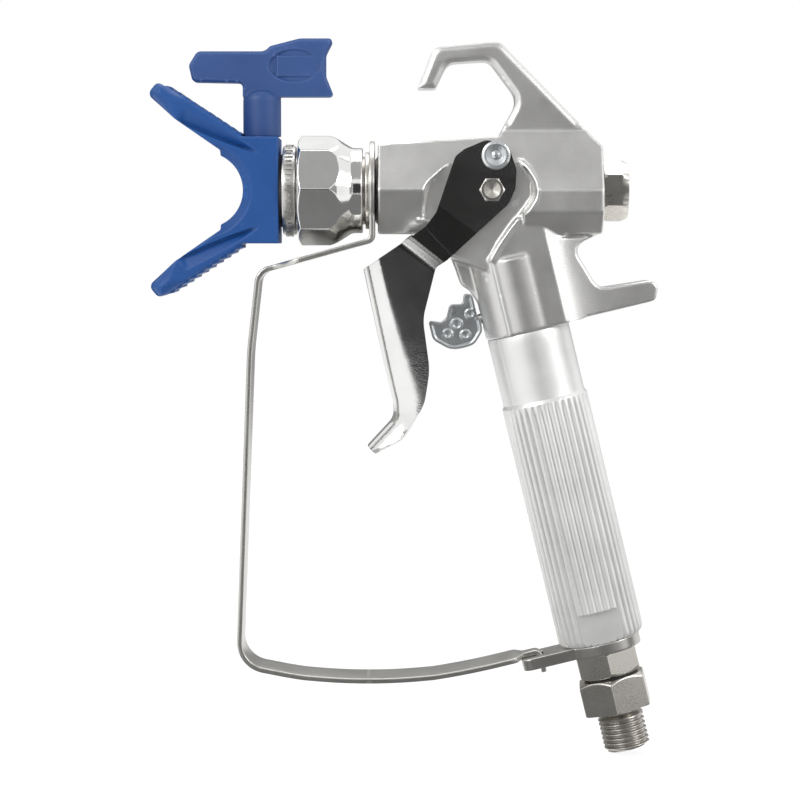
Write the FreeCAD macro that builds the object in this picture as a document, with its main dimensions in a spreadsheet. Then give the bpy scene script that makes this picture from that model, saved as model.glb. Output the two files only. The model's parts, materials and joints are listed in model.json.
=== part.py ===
import FreeCAD, Part
import math
import os
import re
import Sketcher
from FreeCAD import Placement, Rotation, Vector

# Airless paint spray gun: a forged gun body with a hollow grip, a two-leg trigger that draws a
# needle valve open, a turning tip guard with a reversible tip, a strap in front of the fingers
# and a swivel stud for the hose. Millimetres and degrees, +Z up, the nozzle toward -X.
# The part's origin is the middle of the hose thread's end face.
# Outlines are drawn about the point where the barrel axis meets the handle axis.

SIZES = (
    # handle stack, measured down the handle axis from the barrel axis
    ("tilt", 13.7),
    ("block_reach", 41.9),
    ("collar_length", 20.0),
    ("grip_length", 73.1),
    ("bracket_thickness", 3.4),
    ("fitting_height", 7.2),
    ("swivel_gap", 0.7),
    ("swivel_hex_height", 10.0),
    ("swivel_neck_height", 2.2),
    ("thread_length", 9.8),
    # barrel stack, measured from the handle axis toward the nozzle
    ("barrel_front", 33.8),
    ("neck_length", 0.9),
    ("strap_thickness", 1.5),
    ("flange_thickness", 1.2),
    ("relief_length", 0.8),
    ("nut_length", 18.7),
    ("nut_gap", 0.6),
    ("guard_ring_length", 3.8),
    ("guard_seal_thickness", 1.0),
    ("barrel_rear", 31.0),
    # gun body
    ("barrel_half_width", 15.0),
    ("barrel_drop", 12.6),
    ("roof_height", 17.2),
    ("neck_radius", 9.3),
    ("hook_width", 10.4),
    ("column_radius", 12.4),
    ("block_width", 22.8),
    ("tang_width", 15.0),
    ("leg_gap", 0.4),
    ("rib_width", 8.0),
    # valve bores
    ("chamber_radius", 7.0),
    ("packing_radius", 5.0),
    ("hub_radius", 4.6),
    ("spring_bore_radius", 6.5),
    ("chamber_depth", 22.0),
    ("packing_depth", 12.0),
    ("hub_depth", 7.0),
    ("passage_radius", 2.4),
    # needle and valve
    ("needle_radius", 1.6),
    ("needle_tail_radius", 2.6),
    ("ball_radius", 2.0),
    ("ball_setback", 1.75),
    ("spring_radius", 3.8),
    ("spring_wire_radius", 0.55),
    ("spring_pitch", 3.2),
    ("valve_bore_radius", 4.0),
    ("valve_gasket_thickness", 3.0),
    ("seat_radius", 1.2),
    ("seat_depth", 5.8),
    ("seat_length", 3.0),
    ("outlet_radius", 2.4),
    ("diffuser_depth", 14.0),
    ("fit", 0.05),
    ("clearance", 0.3),
    # trigger
    ("leg_inner_width", 21.6),
    ("sheet", 1.8),
    ("finger_width", 19.0),
    ("pivot_height", 9.8),
    ("pivot_radius", 2.9),
    ("pivot_head_radius", 4.1),
    ("pivot_head_height", 1.5),
    ("pin_offset", 1.1),
    ("pin_radius", 1.9),
    ("pin_head_flats", 6.4),
    ("pin_travel", 2.4),
    # trigger lock
    ("lock_reach", 35.3),
    ("lock_thickness", 6.0),
    ("lock_pin_radius", 1.6),
    ("lock_pin_front", 21.0),
    ("lock_pin_length", 11.1),
    # nozzle end
    ("thread_radius", 11.1),
    ("thread_relief_radius", 9.8),
    ("nut_radius", 15.9),
    ("nut_core_radius", 14.6),
    ("nut_skirt_radius", 12.3),
    ("nut_cove_length", 9.6),
    ("nut_lip_radius", 10.0),
    ("nut_lip_length", 2.4),
    ("guard_ring_radius", 13.3),
    ("guard_seal_radius", 10.5),
    ("guard_height", 30.6),
    ("guard_width", 22.0),
    ("guard_depth", 16.7),
    ("guard_bowl_radius", 10.8),
    ("guard_bowl_bevel", 2.6),
    ("seal_gap", 0.5),
    ("seat_seal_bore", 1.3),
    ("seat_seal_radius", 4.0),
    ("seat_seal_step", 0.5),
    ("tip_radius", 4.6),
    ("tip_neck_radius", 3.0),
    ("orifice_radius", 2.4),
    ("orifice_bore", 0.5),
    ("tip_stem_radius", 5.5),
    ("tip_stem_height", 28.9),
    ("tip_flag_thickness", 5.5),
    # strap guard
    ("strap_width", 16.0),
    ("strap_head_width", 26.0),
    ("strap_ring_radius", 14.3),
    ("strap_tab_width", 5.0),
    ("strap_tab_reach", 18.8),
    ("strap_bend_radius", 1.5),
    ("strap_forward", 39.0),
    ("strap_shelf_slope", 15.3),
    # handle
    ("collar_radius", 12.1),
    ("grip_radius", 12.7),
    ("grip_bore_radius", 8.5),
    ("socket_radius", 9.0),
    ("socket_depth", 13.9),
    ("wrench_flats", 22.0),
    ("wrench_flat_height", 9.7),
    ("handle_seal_thickness", 2.4),
    ("handle_seal_bore", 6.6),
    ("bracket_radius", 11.0),
    ("bracket_reach", 24.5),
    ("bracket_width", 14.0),
    ("bracket_hole_radius", 8.1),
    ("fitting_flats", 17.5),
    ("fitting_turn", 29),
    ("fitting_screw_length", 12.0),
    ("fitting_bore_radius", 4.0),
    ("swivel_flats", 19.0),
    ("swivel_turn", 24),
    ("swivel_spigot_length", 5.2),
    ("swivel_washer_width", 2.8),
    ("swivel_spigot_radius", 5.0),
    ("swivel_neck_radius", 5.3),
    ("hose_thread_radius", 6.75),
    ("hose_bore_radius", 3.5),
    ("filter_radius", 6.4),
    ("filter_wall", 0.6),
    ("filter_cap_height", 4.0),
    ("filter_cap_rim", 0.8),
    ("filter_cap_bore", 3.0),
    ("end_cap_flats", 15.4),
    ("end_cap_height", 7.1),
    ("end_gasket_thickness", 0.5),
    ("end_flange_radius", 8.7),
    ("end_flange_thickness", 0.9),
    ("end_plug_length", 9.5),
    ("end_plug_bore", 5.0),
    ("end_plug_floor", 4.5),
)

doc = FreeCAD.newDocument("SprayGun")
sheet = doc.addObject("Spreadsheet::Sheet", "Sizes")
for row, (alias, value) in enumerate(SIZES, 1):
    sheet.set("A%d" % row, alias)
    sheet.set("B%d" % row, str(value))
    sheet.setAlias("B%d" % row, alias)
doc.recompute()


def cells(expression):
    """Point each bare size name in an expression at its cell."""
    return re.sub(r"\b([a-z]\w*)\b(?!\()", r"Sizes.\1", str(expression))


def num(expression):
    """The value that an expression has now."""
    return float(sheet.evalExpression(cells(expression)))


# stations down the handle
TUBE_END = "(block_reach + collar_length + grip_length)"
PLATE_END = f"({TUBE_END} + bracket_thickness)"
FITTING_END = f"({PLATE_END} + fitting_height)"
SWIVEL_TOP = f"({FITTING_END} + swivel_gap)"
SWIVEL_HEX_END = f"({SWIVEL_TOP} + swivel_hex_height)"
THREAD_TOP = f"({SWIVEL_HEX_END} + swivel_neck_height)"
THREAD_END = f"({THREAD_TOP} + thread_length)"
SOCKET_TOP = "(block_reach - socket_depth)"
SEAL_FOOT = f"({SOCKET_TOP} + handle_seal_thickness)"
SCREW_TOP = f"({TUBE_END} - fitting_screw_length)"
ORIGIN_X = f"(-{THREAD_END} * sin(tilt))"
ORIGIN_Z = f"({THREAD_END} * cos(tilt))"

# stations along the barrel, negative toward the nozzle
NECK_FRONT = "(-barrel_front - neck_length)"
RING_FRONT = f"({NECK_FRONT} - strap_thickness)"
FLANGE_FRONT = f"({RING_FRONT} - flange_thickness)"
NUT_REAR = f"({FLANGE_FRONT} - relief_length)"
NUT_FRONT = f"({NUT_REAR} - nut_length)"
RING_REAR = f"({NUT_FRONT} - nut_gap)"
GUARD_RING_FRONT = f"({RING_REAR} - guard_ring_length)"
GUARD_REAR = f"({GUARD_RING_FRONT} - guard_seal_thickness)"
GUARD_FRONT = f"({GUARD_REAR} - guard_depth)"
TIP_X = f"({GUARD_REAR} - tip_radius - seal_gap)"
SEAT_REAR = f"({NUT_REAR} - seat_depth)"
SEAT_FRONT = f"({SEAT_REAR} - seat_length)"
BALL_X = f"({SEAT_REAR} + ball_setback)"
DIFFUSER_FRONT = f"({NUT_REAR} - diffuser_depth)"
CHAMBER_END = "(-chamber_depth)"
GASKET_FRONT = f"({CHAMBER_END} - valve_gasket_thickness)"
PACKING_END = "(-packing_depth)"
LEG_OUTER = "(leg_inner_width + 2 * sheet)"
FINGER_INNER = "(finger_width - 2 * sheet)"
WEB_WIDTH = "(leg_inner_width - 2 * leg_gap)"

BARREL = (ORIGIN_X, ORIGIN_Z, "0")
HANDLE = (ORIGIN_X, ORIGIN_Z, "tilt")


def along_handle(across, reach):
    """A point of the handle's own frame, as barrel coordinates."""
    x = f"(({across}) * cos(tilt) + ({reach}) * sin(tilt))"
    z = f"(({across}) * sin(tilt) - ({reach}) * cos(tilt))"
    return x, z


def new_body(name, frame):
    """An empty body placed in a frame: where it stands and how far it leans."""
    x, z, lean = frame
    body = doc.addObject("PartDesign::Body", name)
    body.Label = name
    body.Placement = Placement(Vector(num(x), 0, num(z)), Rotation(Vector(0, -1, 0), num(lean)))
    body.setExpression(".Placement.Base.x", cells(x))
    body.setExpression(".Placement.Base.z", cells(z))
    if lean != "0":
        body.setExpression(".Placement.Rotation.Angle", cells(lean))
    nodes.append(body)
    return body


def new_sketch(body, role, across="0", up="0", out="0", turn="0", turn_axis=(0, 0, 1)):
    """A sketch on an origin plane, moved in the plane by across and up and off it by out."""
    plane = [item for item in body.Origin.OriginFeatures if item.Role == role][0]
    sketch = body.newObject("Sketcher::SketchObject", body.Label + "_sketch")
    sketch.AttachmentSupport = (plane, [""])
    sketch.MapMode = "FlatFace"
    spot = Vector(num(across), num(up), num(out))
    sketch.AttachmentOffset = Placement(spot, Rotation(Vector(*turn_axis), num(turn)))
    for letter, expression in zip("xyz", (across, up, out)):
        sketch.setExpression(".AttachmentOffset.Base." + letter, cells(expression))
    if turn != "0":
        sketch.setExpression(".AttachmentOffset.Rotation.Angle", cells(turn))
    return sketch


def bind_point(sketch, geometry, end, x, y):
    """Hold one point of a sketch at x, y."""
    for kind, value in (("DistanceX", x), ("DistanceY", y)):
        index = sketch.addConstraint(Sketcher.Constraint(kind, -1, 1, geometry, end, num(value)))
        sketch.setExpression("Constraints[%d]" % index, cells(value))


def outline(sketch, corners, closed=True):
    """Lines through the corners (x, y) or, rounded, (x, y, radius), each bound to the sheet."""
    count = len(corners)
    spots = [Vector(num(corner[0]), num(corner[1]), 0) for corner in corners]
    radii = [num(corner[2]) if len(corner) > 2 else 0 for corner in corners]
    arrive = list(spots)
    leave = list(spots)
    centres = {}
    for i in range(count):
        if radii[i]:
            back = (spots[i - 1] - spots[i]).normalize()
            ahead = (spots[(i + 1) % count] - spots[i]).normalize()
            half_angle = back.getAngle(ahead) / 2
            run = radii[i] / math.tan(half_angle)
            arrive[i] = spots[i] + back * run
            leave[i] = spots[i] + ahead * run
            middle = (back + ahead).normalize()
            centres[i] = spots[i] + middle * (radii[i] / math.sin(half_angle))
    lines = {}
    for i in range(count if closed else count - 1):
        segment = Part.LineSegment(leave[i], arrive[(i + 1) % count])
        lines[i] = sketch.addGeometry(segment, False)
    for i in range(count):
        before = lines.get((i - 1) % count) if closed or i else None
        after = lines.get(i)
        if i in centres:
            join_with_arc(sketch, corners[i], centres[i], (arrive[i], leave[i]), (before, after))
        else:
            if before is not None and after is not None:
                sketch.addConstraint(Sketcher.Constraint("Coincident", before, 2, after, 1))
            line, end = (after, 1) if after is not None else (before, 2)
            bind_point(sketch, line, end, corners[i][0], corners[i][1])


def join_with_arc(sketch, corner, centre, ends, lines):
    """Round the corner between two lines, which still aim at the corner's own point."""
    start, finish = ends
    before, after = lines
    circle = Part.Circle(centre, Vector(0, 0, 1), num(corner[2]))
    spin = (start - centre).cross(finish - centre).z
    first, last = (start, finish) if spin > 0 else (finish, start)
    bend = Part.ArcOfCircle(circle, circle.parameter(first), circle.parameter(last))
    arc = sketch.addGeometry(bend, False)
    near, far = (1, 2) if spin > 0 else (2, 1)
    sketch.addConstraint(Sketcher.Constraint("Tangent", before, 2, arc, near))
    sketch.addConstraint(Sketcher.Constraint("Tangent", arc, far, after, 1))
    index = sketch.addConstraint(Sketcher.Constraint("Radius", arc, num(corner[2])))
    sketch.setExpression("Constraints[%d]" % index, cells(corner[2]))
    point = sketch.addGeometry(Part.Point(Vector(num(corner[0]), num(corner[1]), 0)), True)
    bind_point(sketch, point, 1, corner[0], corner[1])
    sketch.addConstraint(Sketcher.Constraint("PointOnObject", point, 1, before))
    sketch.addConstraint(Sketcher.Constraint("PointOnObject", point, 1, after))


def circle_at(sketch, x, y, radius):
    """A circle whose centre and radius are bound to the sheet."""
    spot = Vector(num(x), num(y), 0)
    geometry = sketch.addGeometry(Part.Circle(spot, Vector(0, 0, 1), num(radius)), False)
    bind_point(sketch, geometry, 3, x, y)
    index = sketch.addConstraint(Sketcher.Constraint("Radius", geometry, num(radius)))
    sketch.setExpression("Constraints[%d]" % index, cells(radius))


def regular_polygon(sketch, sides, circumradius, first_angle):
    """A regular polygon about the sketch's origin."""
    corners = []
    for i in range(sides):
        angle = f"{first_angle} + {360.0 * i / sides}"
        corners.append((f"({circumradius}) * cos({angle})", f"({circumradius}) * sin({angle})"))
    outline(sketch, corners)


def settle(body, feature, cuts):
    """Recompute a feature and make sure that it added or cut something."""
    before = body.Shape.Volume if body.Shape and not body.Shape.isNull() else 0.0
    body.Tip = feature
    doc.recompute()
    change = feature.Shape.Volume - before
    if "Invalid" in feature.State or "Error" in feature.State:
        raise RuntimeError(f"{body.Label}: {feature.Name} failed")
    if (cuts and change > -1e-3) or (not cuts and change < 1e-3):
        raise RuntimeError(f"{body.Label}: {feature.Name} changed nothing ({change:.4f})")


def pad(body, sketch, length, both_ways=True, reverse=False):
    """Thicken a sketch, evenly to both sides or to one."""
    feature = body.newObject("PartDesign::Pad", body.Label + "_pad")
    feature.Profile = sketch
    feature.SideType = "Symmetric" if both_ways else "One side"
    feature.Reversed = reverse
    feature.setExpression("Length", cells(length))
    settle(body, feature, cuts=False)


def pocket(body, sketch, length, both_ways=True, reverse=False):
    """Cut a sketch's shape out of the body."""
    feature = body.newObject("PartDesign::Pocket", body.Label + "_pocket")
    feature.Profile = sketch
    feature.SideType = "Symmetric" if both_ways else "One side"
    feature.Reversed = reverse
    feature.setExpression("Length", cells(length))
    settle(body, feature, cuts=True)


def revolve(body, sketch, axis="H_Axis", cut=False):
    """Turn a half section about one of the sketch's own axes."""
    kind = "PartDesign::Groove" if cut else "PartDesign::Revolution"
    feature = body.newObject(kind, body.Label + ("_groove" if cut else "_turned"))
    feature.Profile = sketch
    feature.ReferenceAxis = (sketch, [axis])
    feature.Angle = 360
    settle(body, feature, cuts=cut)


def turned_along_barrel(name, profile):
    """A part turned about the barrel axis; the half section's corners are (x, radius)."""
    body = new_body(name, BARREL)
    sketch = new_sketch(body, "XZ_Plane")
    outline(sketch, profile)
    revolve(body, sketch)
    return body


def turned_down_handle(name, profile):
    """A part turned about the handle axis; corners are (radius, distance from the barrel axis)."""
    body = new_body(name, HANDLE)
    sketch = new_sketch(body, "XZ_Plane")
    outline(sketch, [(corner[0], f"-({corner[1]})", *corner[2:]) for corner in profile])
    revolve(body, sketch, "V_Axis")
    return body


def tube_profile(inner, outer, start, end):
    """A plain sleeve's half section, as (position, radius) corners."""
    return [(start, inner), (end, inner), (end, outer), (start, outer)]


def swap(profile):
    """Change (position, radius) corners into (radius, position) ones."""
    return [(corner[1], corner[0], *corner[2:]) for corner in profile]


def drill_across(body, x, z, radius):
    """A hole along Y, right through."""
    sketch = new_sketch(body, "XZ_Plane")
    circle_at(sketch, x, z, radius)
    pocket(body, sketch, "60")


# ---------------------------------------------------------------- gun body

def barrel_forging(body):
    """Six-sided barrel whose roof rises to the hook and drops behind it."""
    slope = "tan(30)"
    roof = f"(barrel_half_width - roof_height * {slope})"
    floor = f"(barrel_half_width - barrel_drop * {slope})"
    sketch = new_sketch(body, "YZ_Plane", out="-barrel_front")
    outline(sketch, [("barrel_half_width", "0"), (roof, "roof_height"), (f"-{roof}", "roof_height"),
                     ("-barrel_half_width", "0"), (f"-{floor}", "-barrel_drop"), (floor, "-barrel_drop")])
    pad(body, sketch, "barrel_front + barrel_rear", both_ways=False)
    sketch = new_sketch(body, "XZ_Plane")
    outline(sketch, [("-barrel_front - 1", 13.2), (1.2, 15.5), (2.4, "roof_height + 1"),
                     ("-barrel_front - 1", "roof_height + 1")])
    pocket(body, sketch, "2 * barrel_half_width + 2")
    sketch = new_sketch(body, "XZ_Plane")
    outline(sketch, [("barrel_rear - 5.6", "roof_height + 1"), ("barrel_rear + 1", "roof_height - 5.6"),
                     ("barrel_rear + 1", "roof_height + 1")])
    pocket(body, sketch, "2 * barrel_half_width + 2")
    sketch = new_sketch(body, "YZ_Plane", out="8")
    outline(sketch, [("barrel_half_width", "0"), ("-barrel_half_width", "0"), ("-barrel_half_width", -6.4),
                     (-9, "-barrel_drop"), (9, "-barrel_drop"), ("barrel_half_width", -6.4)])
    pad(body, sketch, "barrel_rear - 8", both_ways=False)
    sketch = new_sketch(body, "XZ_Plane")
    outline(sketch, [(NECK_FRONT, 0), (NECK_FRONT, "neck_radius"), ("-barrel_front + 1", "neck_radius"),
                     ("-barrel_front + 1", 0)])
    revolve(body, sketch)


def hanging_hook(body):
    """Flat hook above the barrel, open toward the nozzle."""
    sketch = new_sketch(body, "XZ_Plane")
    outline(sketch, [(1.2, 12.0), (1.2, 15.8, 0.8), (6.8, 26.0, 5), (-1.7, 37.4, 3.5), (-13.7, 36.6, 3.5),
                     (-17.2, 29.2), (-22.4, 29.2), (-17.5, 41.5, 4), (0.9, 43.2, 5),
                     ("barrel_rear", "roof_height - 4.6"), ("barrel_rear", 8)])
    pad(body, sketch, "hook_width")


def handle_block(body):
    """Round-fronted column that carries the handle, with the web in front and the tang behind."""
    for plan in ("column", "block"):
        foot_x, foot_z = along_handle("0", "block_reach")
        sketch = new_sketch(body, "XY_Plane", across=foot_x, out=foot_z, turn="tilt", turn_axis=(0, -1, 0))
        if plan == "column":
            circle_at(sketch, 0, 0, "column_radius")
            pad(body, sketch, "block_reach - 20", both_ways=False)
        else:
            outline(sketch, [(-6, "-block_width / 2"), (10.9, "-block_width / 2"), (17.0, "-tang_width / 2"),
                             (17.0, "tang_width / 2"), (10.9, "block_width / 2"), (-6, "block_width / 2")])
            pad(body, sketch, "block_reach - 8", both_ways=False)
    low_front = along_handle("3", "block_reach")
    low_rear = along_handle("37.8", "block_reach")
    sketch = new_sketch(body, "XZ_Plane")
    outline(sketch, [low_front, (*low_rear, 2), (47.5, -25.5, 2.5), (29.8, -28.3, 4), (22.6, -16.4, 3),
                     (31.0, -12.0), (31.0, -8), (6, -8)])
    pad(body, sketch, "tang_width")
    sketch = new_sketch(body, "XZ_Plane")
    outline(sketch, [(-19.3, -7), (-15.0, -18.4, 2), (2, -25), (6, -7)])
    pad(body, sketch, WEB_WIDTH)
    sketch = new_sketch(body, "XZ_Plane")
    foot = along_handle("-11", "block_reach")
    rib_top = along_handle("-12.2", "lock_reach - 4.3")
    rib_foot = along_handle("-12.2", "block_reach - 3")
    outline(sketch, [(-14.0, -16), (-11.4, -22.5), (-9.7, -27.4, 2), (-7.1, -29.1, 1), (*rib_top, 1.5),
                     rib_foot, foot, (4, -38), (4, -16)])
    pad(body, sketch, "rib_width")


def trigger_pockets(body):
    """Flat recess on each side, in which the trigger's legs swing."""
    for side in (False, True):
        half = f"({WEB_WIDTH} / 2)"
        sketch = new_sketch(body, "XZ_Plane", out=half if side else f"-{half}")
        outline(sketch, [(-11.6, 11.0), (-11.6, 9.5), (-18.8, 1.5, 4), (-20.6, -6.5), (-22.0, -30),
                         (-2.1, -30),
                         (-2.1, -19.8), (9.4, -4.3, 2), (11.0, 0.5, 2), (5.8, 10.1), (5.8, 11.0)])
        pocket(body, sketch, "20", both_ways=False, reverse=side)


def valve_bores(body):
    """Chambers along the barrel axis, the windows for the pin and the pivot hole."""
    sketch = new_sketch(body, "XZ_Plane")
    outline(sketch, [(f"{NECK_FRONT} - 1", 0), (f"{NECK_FRONT} - 1", "chamber_radius + fit"),
                     (CHAMBER_END, "chamber_radius + fit"), (CHAMBER_END, "packing_radius + fit"),
                     (PACKING_END, "packing_radius + fit"), (PACKING_END, "hub_radius + fit"),
                     ("hub_depth", "hub_radius + fit"), ("hub_depth", "spring_bore_radius + fit"),
                     ("barrel_rear + 1", "spring_bore_radius + fit"), ("barrel_rear + 1", 0)])
    revolve(body, sketch, cut=True)
    room = "(pin_radius + clearance)"
    sketch = new_sketch(body, "XZ_Plane")
    front = f"-pin_offset - {room}"
    back = f"pin_travel - pin_offset + {room}"
    outline(sketch, [(front, f"-{room}"), (back, f"-{room}"), (back, room), (front, room)])
    pocket(body, sketch, "60")
    drill_across(body, 0, "pivot_height", "pivot_radius + fit")


def handle_socket(body):
    """Bore that takes the handle, and the slanted passage from it to the valve chamber."""
    sketch = new_sketch(body, "XZ_Plane", turn="tilt")
    outline(sketch, [(0, f"-{SOCKET_TOP}"), (0, "-block_reach - 2"),
                     ("socket_radius + fit", "-block_reach - 2"), ("socket_radius + fit", f"-{SOCKET_TOP}")])
    revolve(body, sketch, "V_Axis", cut=True)
    top_x, top_z = along_handle("0", f"{SOCKET_TOP} + 1")
    sketch = new_sketch(body, "XZ_Plane", across=top_x, up=top_z, turn="52")
    outline(sketch, [(0, 0), ("passage_radius", 0), ("passage_radius", 40.5), (0, 40.5)])
    revolve(body, sketch, "V_Axis", cut=True)
    pin_x, pin_z = along_handle("-9.7", "lock_reach")
    sketch = new_sketch(body, "XZ_Plane", across=pin_x, up=pin_z, turn="tilt + 90")
    outline(sketch, [(0, 0), ("lock_pin_radius + fit", 0), ("lock_pin_radius + fit", 12), (0, 12)])
    revolve(body, sketch, "V_Axis", cut=True)


def gun_body():
    body = new_body("gun_body", BARREL)
    barrel_forging(body)
    hanging_hook(body)
    handle_block(body)
    trigger_pockets(body)
    valve_bores(body)
    handle_socket(body)


# ---------------------------------------------------------------- rear cap and valve

def rear_cap():
    """Gasket and six-sided cap that close the spring chamber."""
    gasket_rear = "(barrel_rear + end_gasket_thickness)"
    flange_rear = f"({gasket_rear} + end_flange_thickness)"
    plug_front = f"({gasket_rear} - end_plug_length)"
    gasket = tube_profile("spring_bore_radius + fit", "end_flange_radius - 0.1", "barrel_rear", gasket_rear)
    turned_along_barrel("end_cap_gasket", gasket)
    body = turned_along_barrel("end_cap", [
        (plug_front, "end_plug_bore"), (plug_front, "spring_bore_radius"),
        (gasket_rear, "spring_bore_radius"),
        (gasket_rear, "end_flange_radius"), (flange_rear, "end_flange_radius"), (flange_rear, 0),
        (f"{gasket_rear} - end_plug_floor", 0), (f"{gasket_rear} - end_plug_floor", "end_plug_bore")])
    sketch = new_sketch(body, "YZ_Plane", out=f"{flange_rear} - 0.4")
    regular_polygon(sketch, 6, "end_cap_flats / 2 / cos(30)", "30")
    pad(body, sketch, "end_cap_height - 0.5", both_ways=False)


def needle():
    """Needle with its ball, the hub that the pin pulls, and the closing spring."""
    body = turned_along_barrel("needle_rod", [
        (BALL_X, 0), (BALL_X, "needle_radius"), ("3 - packing_depth", "needle_radius"),
        ("3 - packing_depth", "hub_radius"), ("hub_depth - 0.4", "hub_radius"),
        ("hub_depth - 0.4", "needle_tail_radius"), ("2 * hub_depth", "needle_tail_radius"),
        ("2 * hub_depth", 0)])
    sketch = new_sketch(body, "XZ_Plane", across="-pin_offset")
    half = "(pin_radius + fit)"
    tall = "(hub_radius + 1)"
    outline(sketch, [(f"-{half}", f"-{tall}"), (half, f"-{tall}"), (half, "pin_radius + clearance"),
                     (f"-{half}", "pin_radius + clearance")])
    pocket(body, sketch, "40")
    ball = new_body("needle_ball", BARREL)
    sketch = new_sketch(ball, "XZ_Plane")
    outline(sketch, [(f"{BALL_X} - ball_radius", 0),
                     (f"{BALL_X} - ball_radius", "ball_radius", "ball_radius - 0.02"),
                     (BALL_X, "ball_radius"), (BALL_X, 0)])
    revolve(ball, sketch)
    spring = new_body("needle_spring", BARREL)
    sketch = new_sketch(spring, "XZ_Plane", across="hub_depth + 0.2")
    circle_at(sketch, 0, "spring_radius", "spring_wire_radius")
    helix = spring.newObject("PartDesign::AdditiveHelix", "needle_spring_helix")
    helix.Profile = sketch
    helix.ReferenceAxis = (sketch, ["H_Axis"])
    helix.Mode = "pitch-height-angle"
    helix.setExpression("Pitch", cells("spring_pitch"))
    helix.setExpression("Height", cells("6 * spring_pitch"))
    settle(spring, helix, cuts=False)


def packings():
    """Two seals that guide the needle behind the valve chamber."""
    middle = f"(({CHAMBER_END}) + ({PACKING_END})) / 2"
    bore = "needle_radius + fit"
    turned_along_barrel("packing_front", tube_profile(bore, "packing_radius", CHAMBER_END, middle))
    turned_along_barrel("packing_rear", tube_profile(bore, "packing_radius", middle, PACKING_END))


def diffuser():
    """Threaded valve housing in front of the strap's ring, with its gasket and carbide seat."""
    thread_rear = f"({NUT_REAR} - nut_gap)"
    thread_front = f"({NUT_REAR} - 11)"
    turned_along_barrel("diffuser", [
        (GASKET_FRONT, "valve_bore_radius"), (GASKET_FRONT, "chamber_radius"),
        (RING_FRONT, "chamber_radius"),
        (RING_FRONT, "thread_radius"), (FLANGE_FRONT, "thread_radius"),
        (FLANGE_FRONT, "thread_relief_radius"),
        (thread_rear, "thread_relief_radius"), (thread_rear, "thread_radius"),
        (thread_front, "thread_radius"),
        (thread_front, "chamber_radius"), (DIFFUSER_FRONT, "chamber_radius"),
        (DIFFUSER_FRONT, "outlet_radius"),
        (SEAT_FRONT, "outlet_radius"), (SEAT_FRONT, "valve_bore_radius")])
    turned_along_barrel("valve_seat", tube_profile("seat_radius", "valve_bore_radius", SEAT_FRONT,
                                                   SEAT_REAR))
    gasket = tube_profile("valve_bore_radius", "chamber_radius", GASKET_FRONT, CHAMBER_END)
    turned_along_barrel("diffuser_gasket", gasket)


# ---------------------------------------------------------------- trigger

def trigger():
    """Bent sheet: two legs beside the barrel, joggled in to a channel for the fingers."""
    body = new_body("trigger", BARREL)
    sketch = new_sketch(body, "XZ_Plane")
    outline(sketch, [(-38.0, -22.7, 1.5), (-34.3, -40.0), (-32.0, -50.5, 30), (-29.4, -61.6, 6),
                     (-29.2, -66.0, 6), (-36.8, -74.2, 0.6), (-35.7, -75.6, 0.8), (-27.0, -71.8, 6),
                     (-20.4, -62.0, 12), (-18.8, -51.8, 20), (-20.8, -37.0, 14), (-17.1, -22.2),
                     (-16.2, -20.6),
                     (-24.5, -13.6)])
    pad(body, sketch, "finger_width")
    sketch = new_sketch(body, "XZ_Plane")
    outline(sketch, [(-26.3, -15.2), (-23.9, -13.2), (-19.9, -10.3, 3), (-17.0, -6.4, 4), (-11.6, 9.6, 3),
                     (-9.0, 11.6, 2), (-2.8, 14.2, 4), (3.4, 13.0, 5), (5.9, 5.8, 3), (5.6, 0.3, 3),
                     (3.7, -4.0, 3),
                     (-13.9, -20.1, 3), (-17.6, -23.4)])
    pad(body, sketch, LEG_OUTER)
    sketch = new_sketch(body, "XZ_Plane")
    outline(sketch, [(-24.6, -14.6), (-15.8, -21.6), (14, -10), (14, 20), (-16, 20), (-30, -9)])
    pocket(body, sketch, "leg_inner_width")
    sketch = new_sketch(body, "XZ_Plane")
    outline(sketch, [(-38.7, -10.5), (-32.5, -40.0), (-30.2, -50.5, 30), (-27.6, -61.6, 4),
                     (-27.4, -66.8, 4),
                     (-36.6, -77.0), (-12, -77), (-12, -16), (-20, -8)])
    pocket(body, sketch, FINGER_INNER)
    drill_across(body, 0, "pivot_height", "pivot_radius + fit")
    drill_across(body, "-pin_offset", 0, "pin_radius + fit")


def headed_pin(name, x, z, radius, head, nut_name, nut):
    """A pin across the trigger with a head on one leg and a nut or cap on the other."""
    body = new_body(name, BARREL)
    outside = f"({LEG_OUTER} / 2 + 0.1)"
    sketch = new_sketch(body, "XZ_Plane", across=x, up=z, out=f"-{outside}")
    circle_at(sketch, 0, 0, radius)
    pad(body, sketch, f"2 * {outside}", both_ways=False)
    sketch = new_sketch(body, "XZ_Plane", across=x, up=z, out=outside)
    head(sketch)
    pad(body, sketch, "pivot_head_height", both_ways=False)
    cap = new_body(nut_name, BARREL)
    sketch = new_sketch(cap, "XZ_Plane", across=x, up=z, out=f"-{outside}")
    nut(sketch)
    pad(cap, sketch, "pivot_head_height + 0.5", both_ways=False, reverse=True)


def trigger_pins():
    """Pivot bolt in the gun body, and the pin that travels with the trigger."""
    across_corners = "pin_head_flats / 2 / cos(30)"
    headed_pin("pivot_bolt", "0", "pivot_height", "pivot_radius",
               lambda sketch: circle_at(sketch, 0, 0, "pivot_head_radius"),
               "pivot_nut", lambda sketch: regular_polygon(sketch, 6, "pivot_head_radius", "0"))
    headed_pin("actuator_pin", "-pin_offset", "0", "pin_radius",
               lambda sketch: regular_polygon(sketch, 6, across_corners, "0"),
               "actuator_nut", lambda sketch: regular_polygon(sketch, 6, across_corners, "0"))


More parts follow.
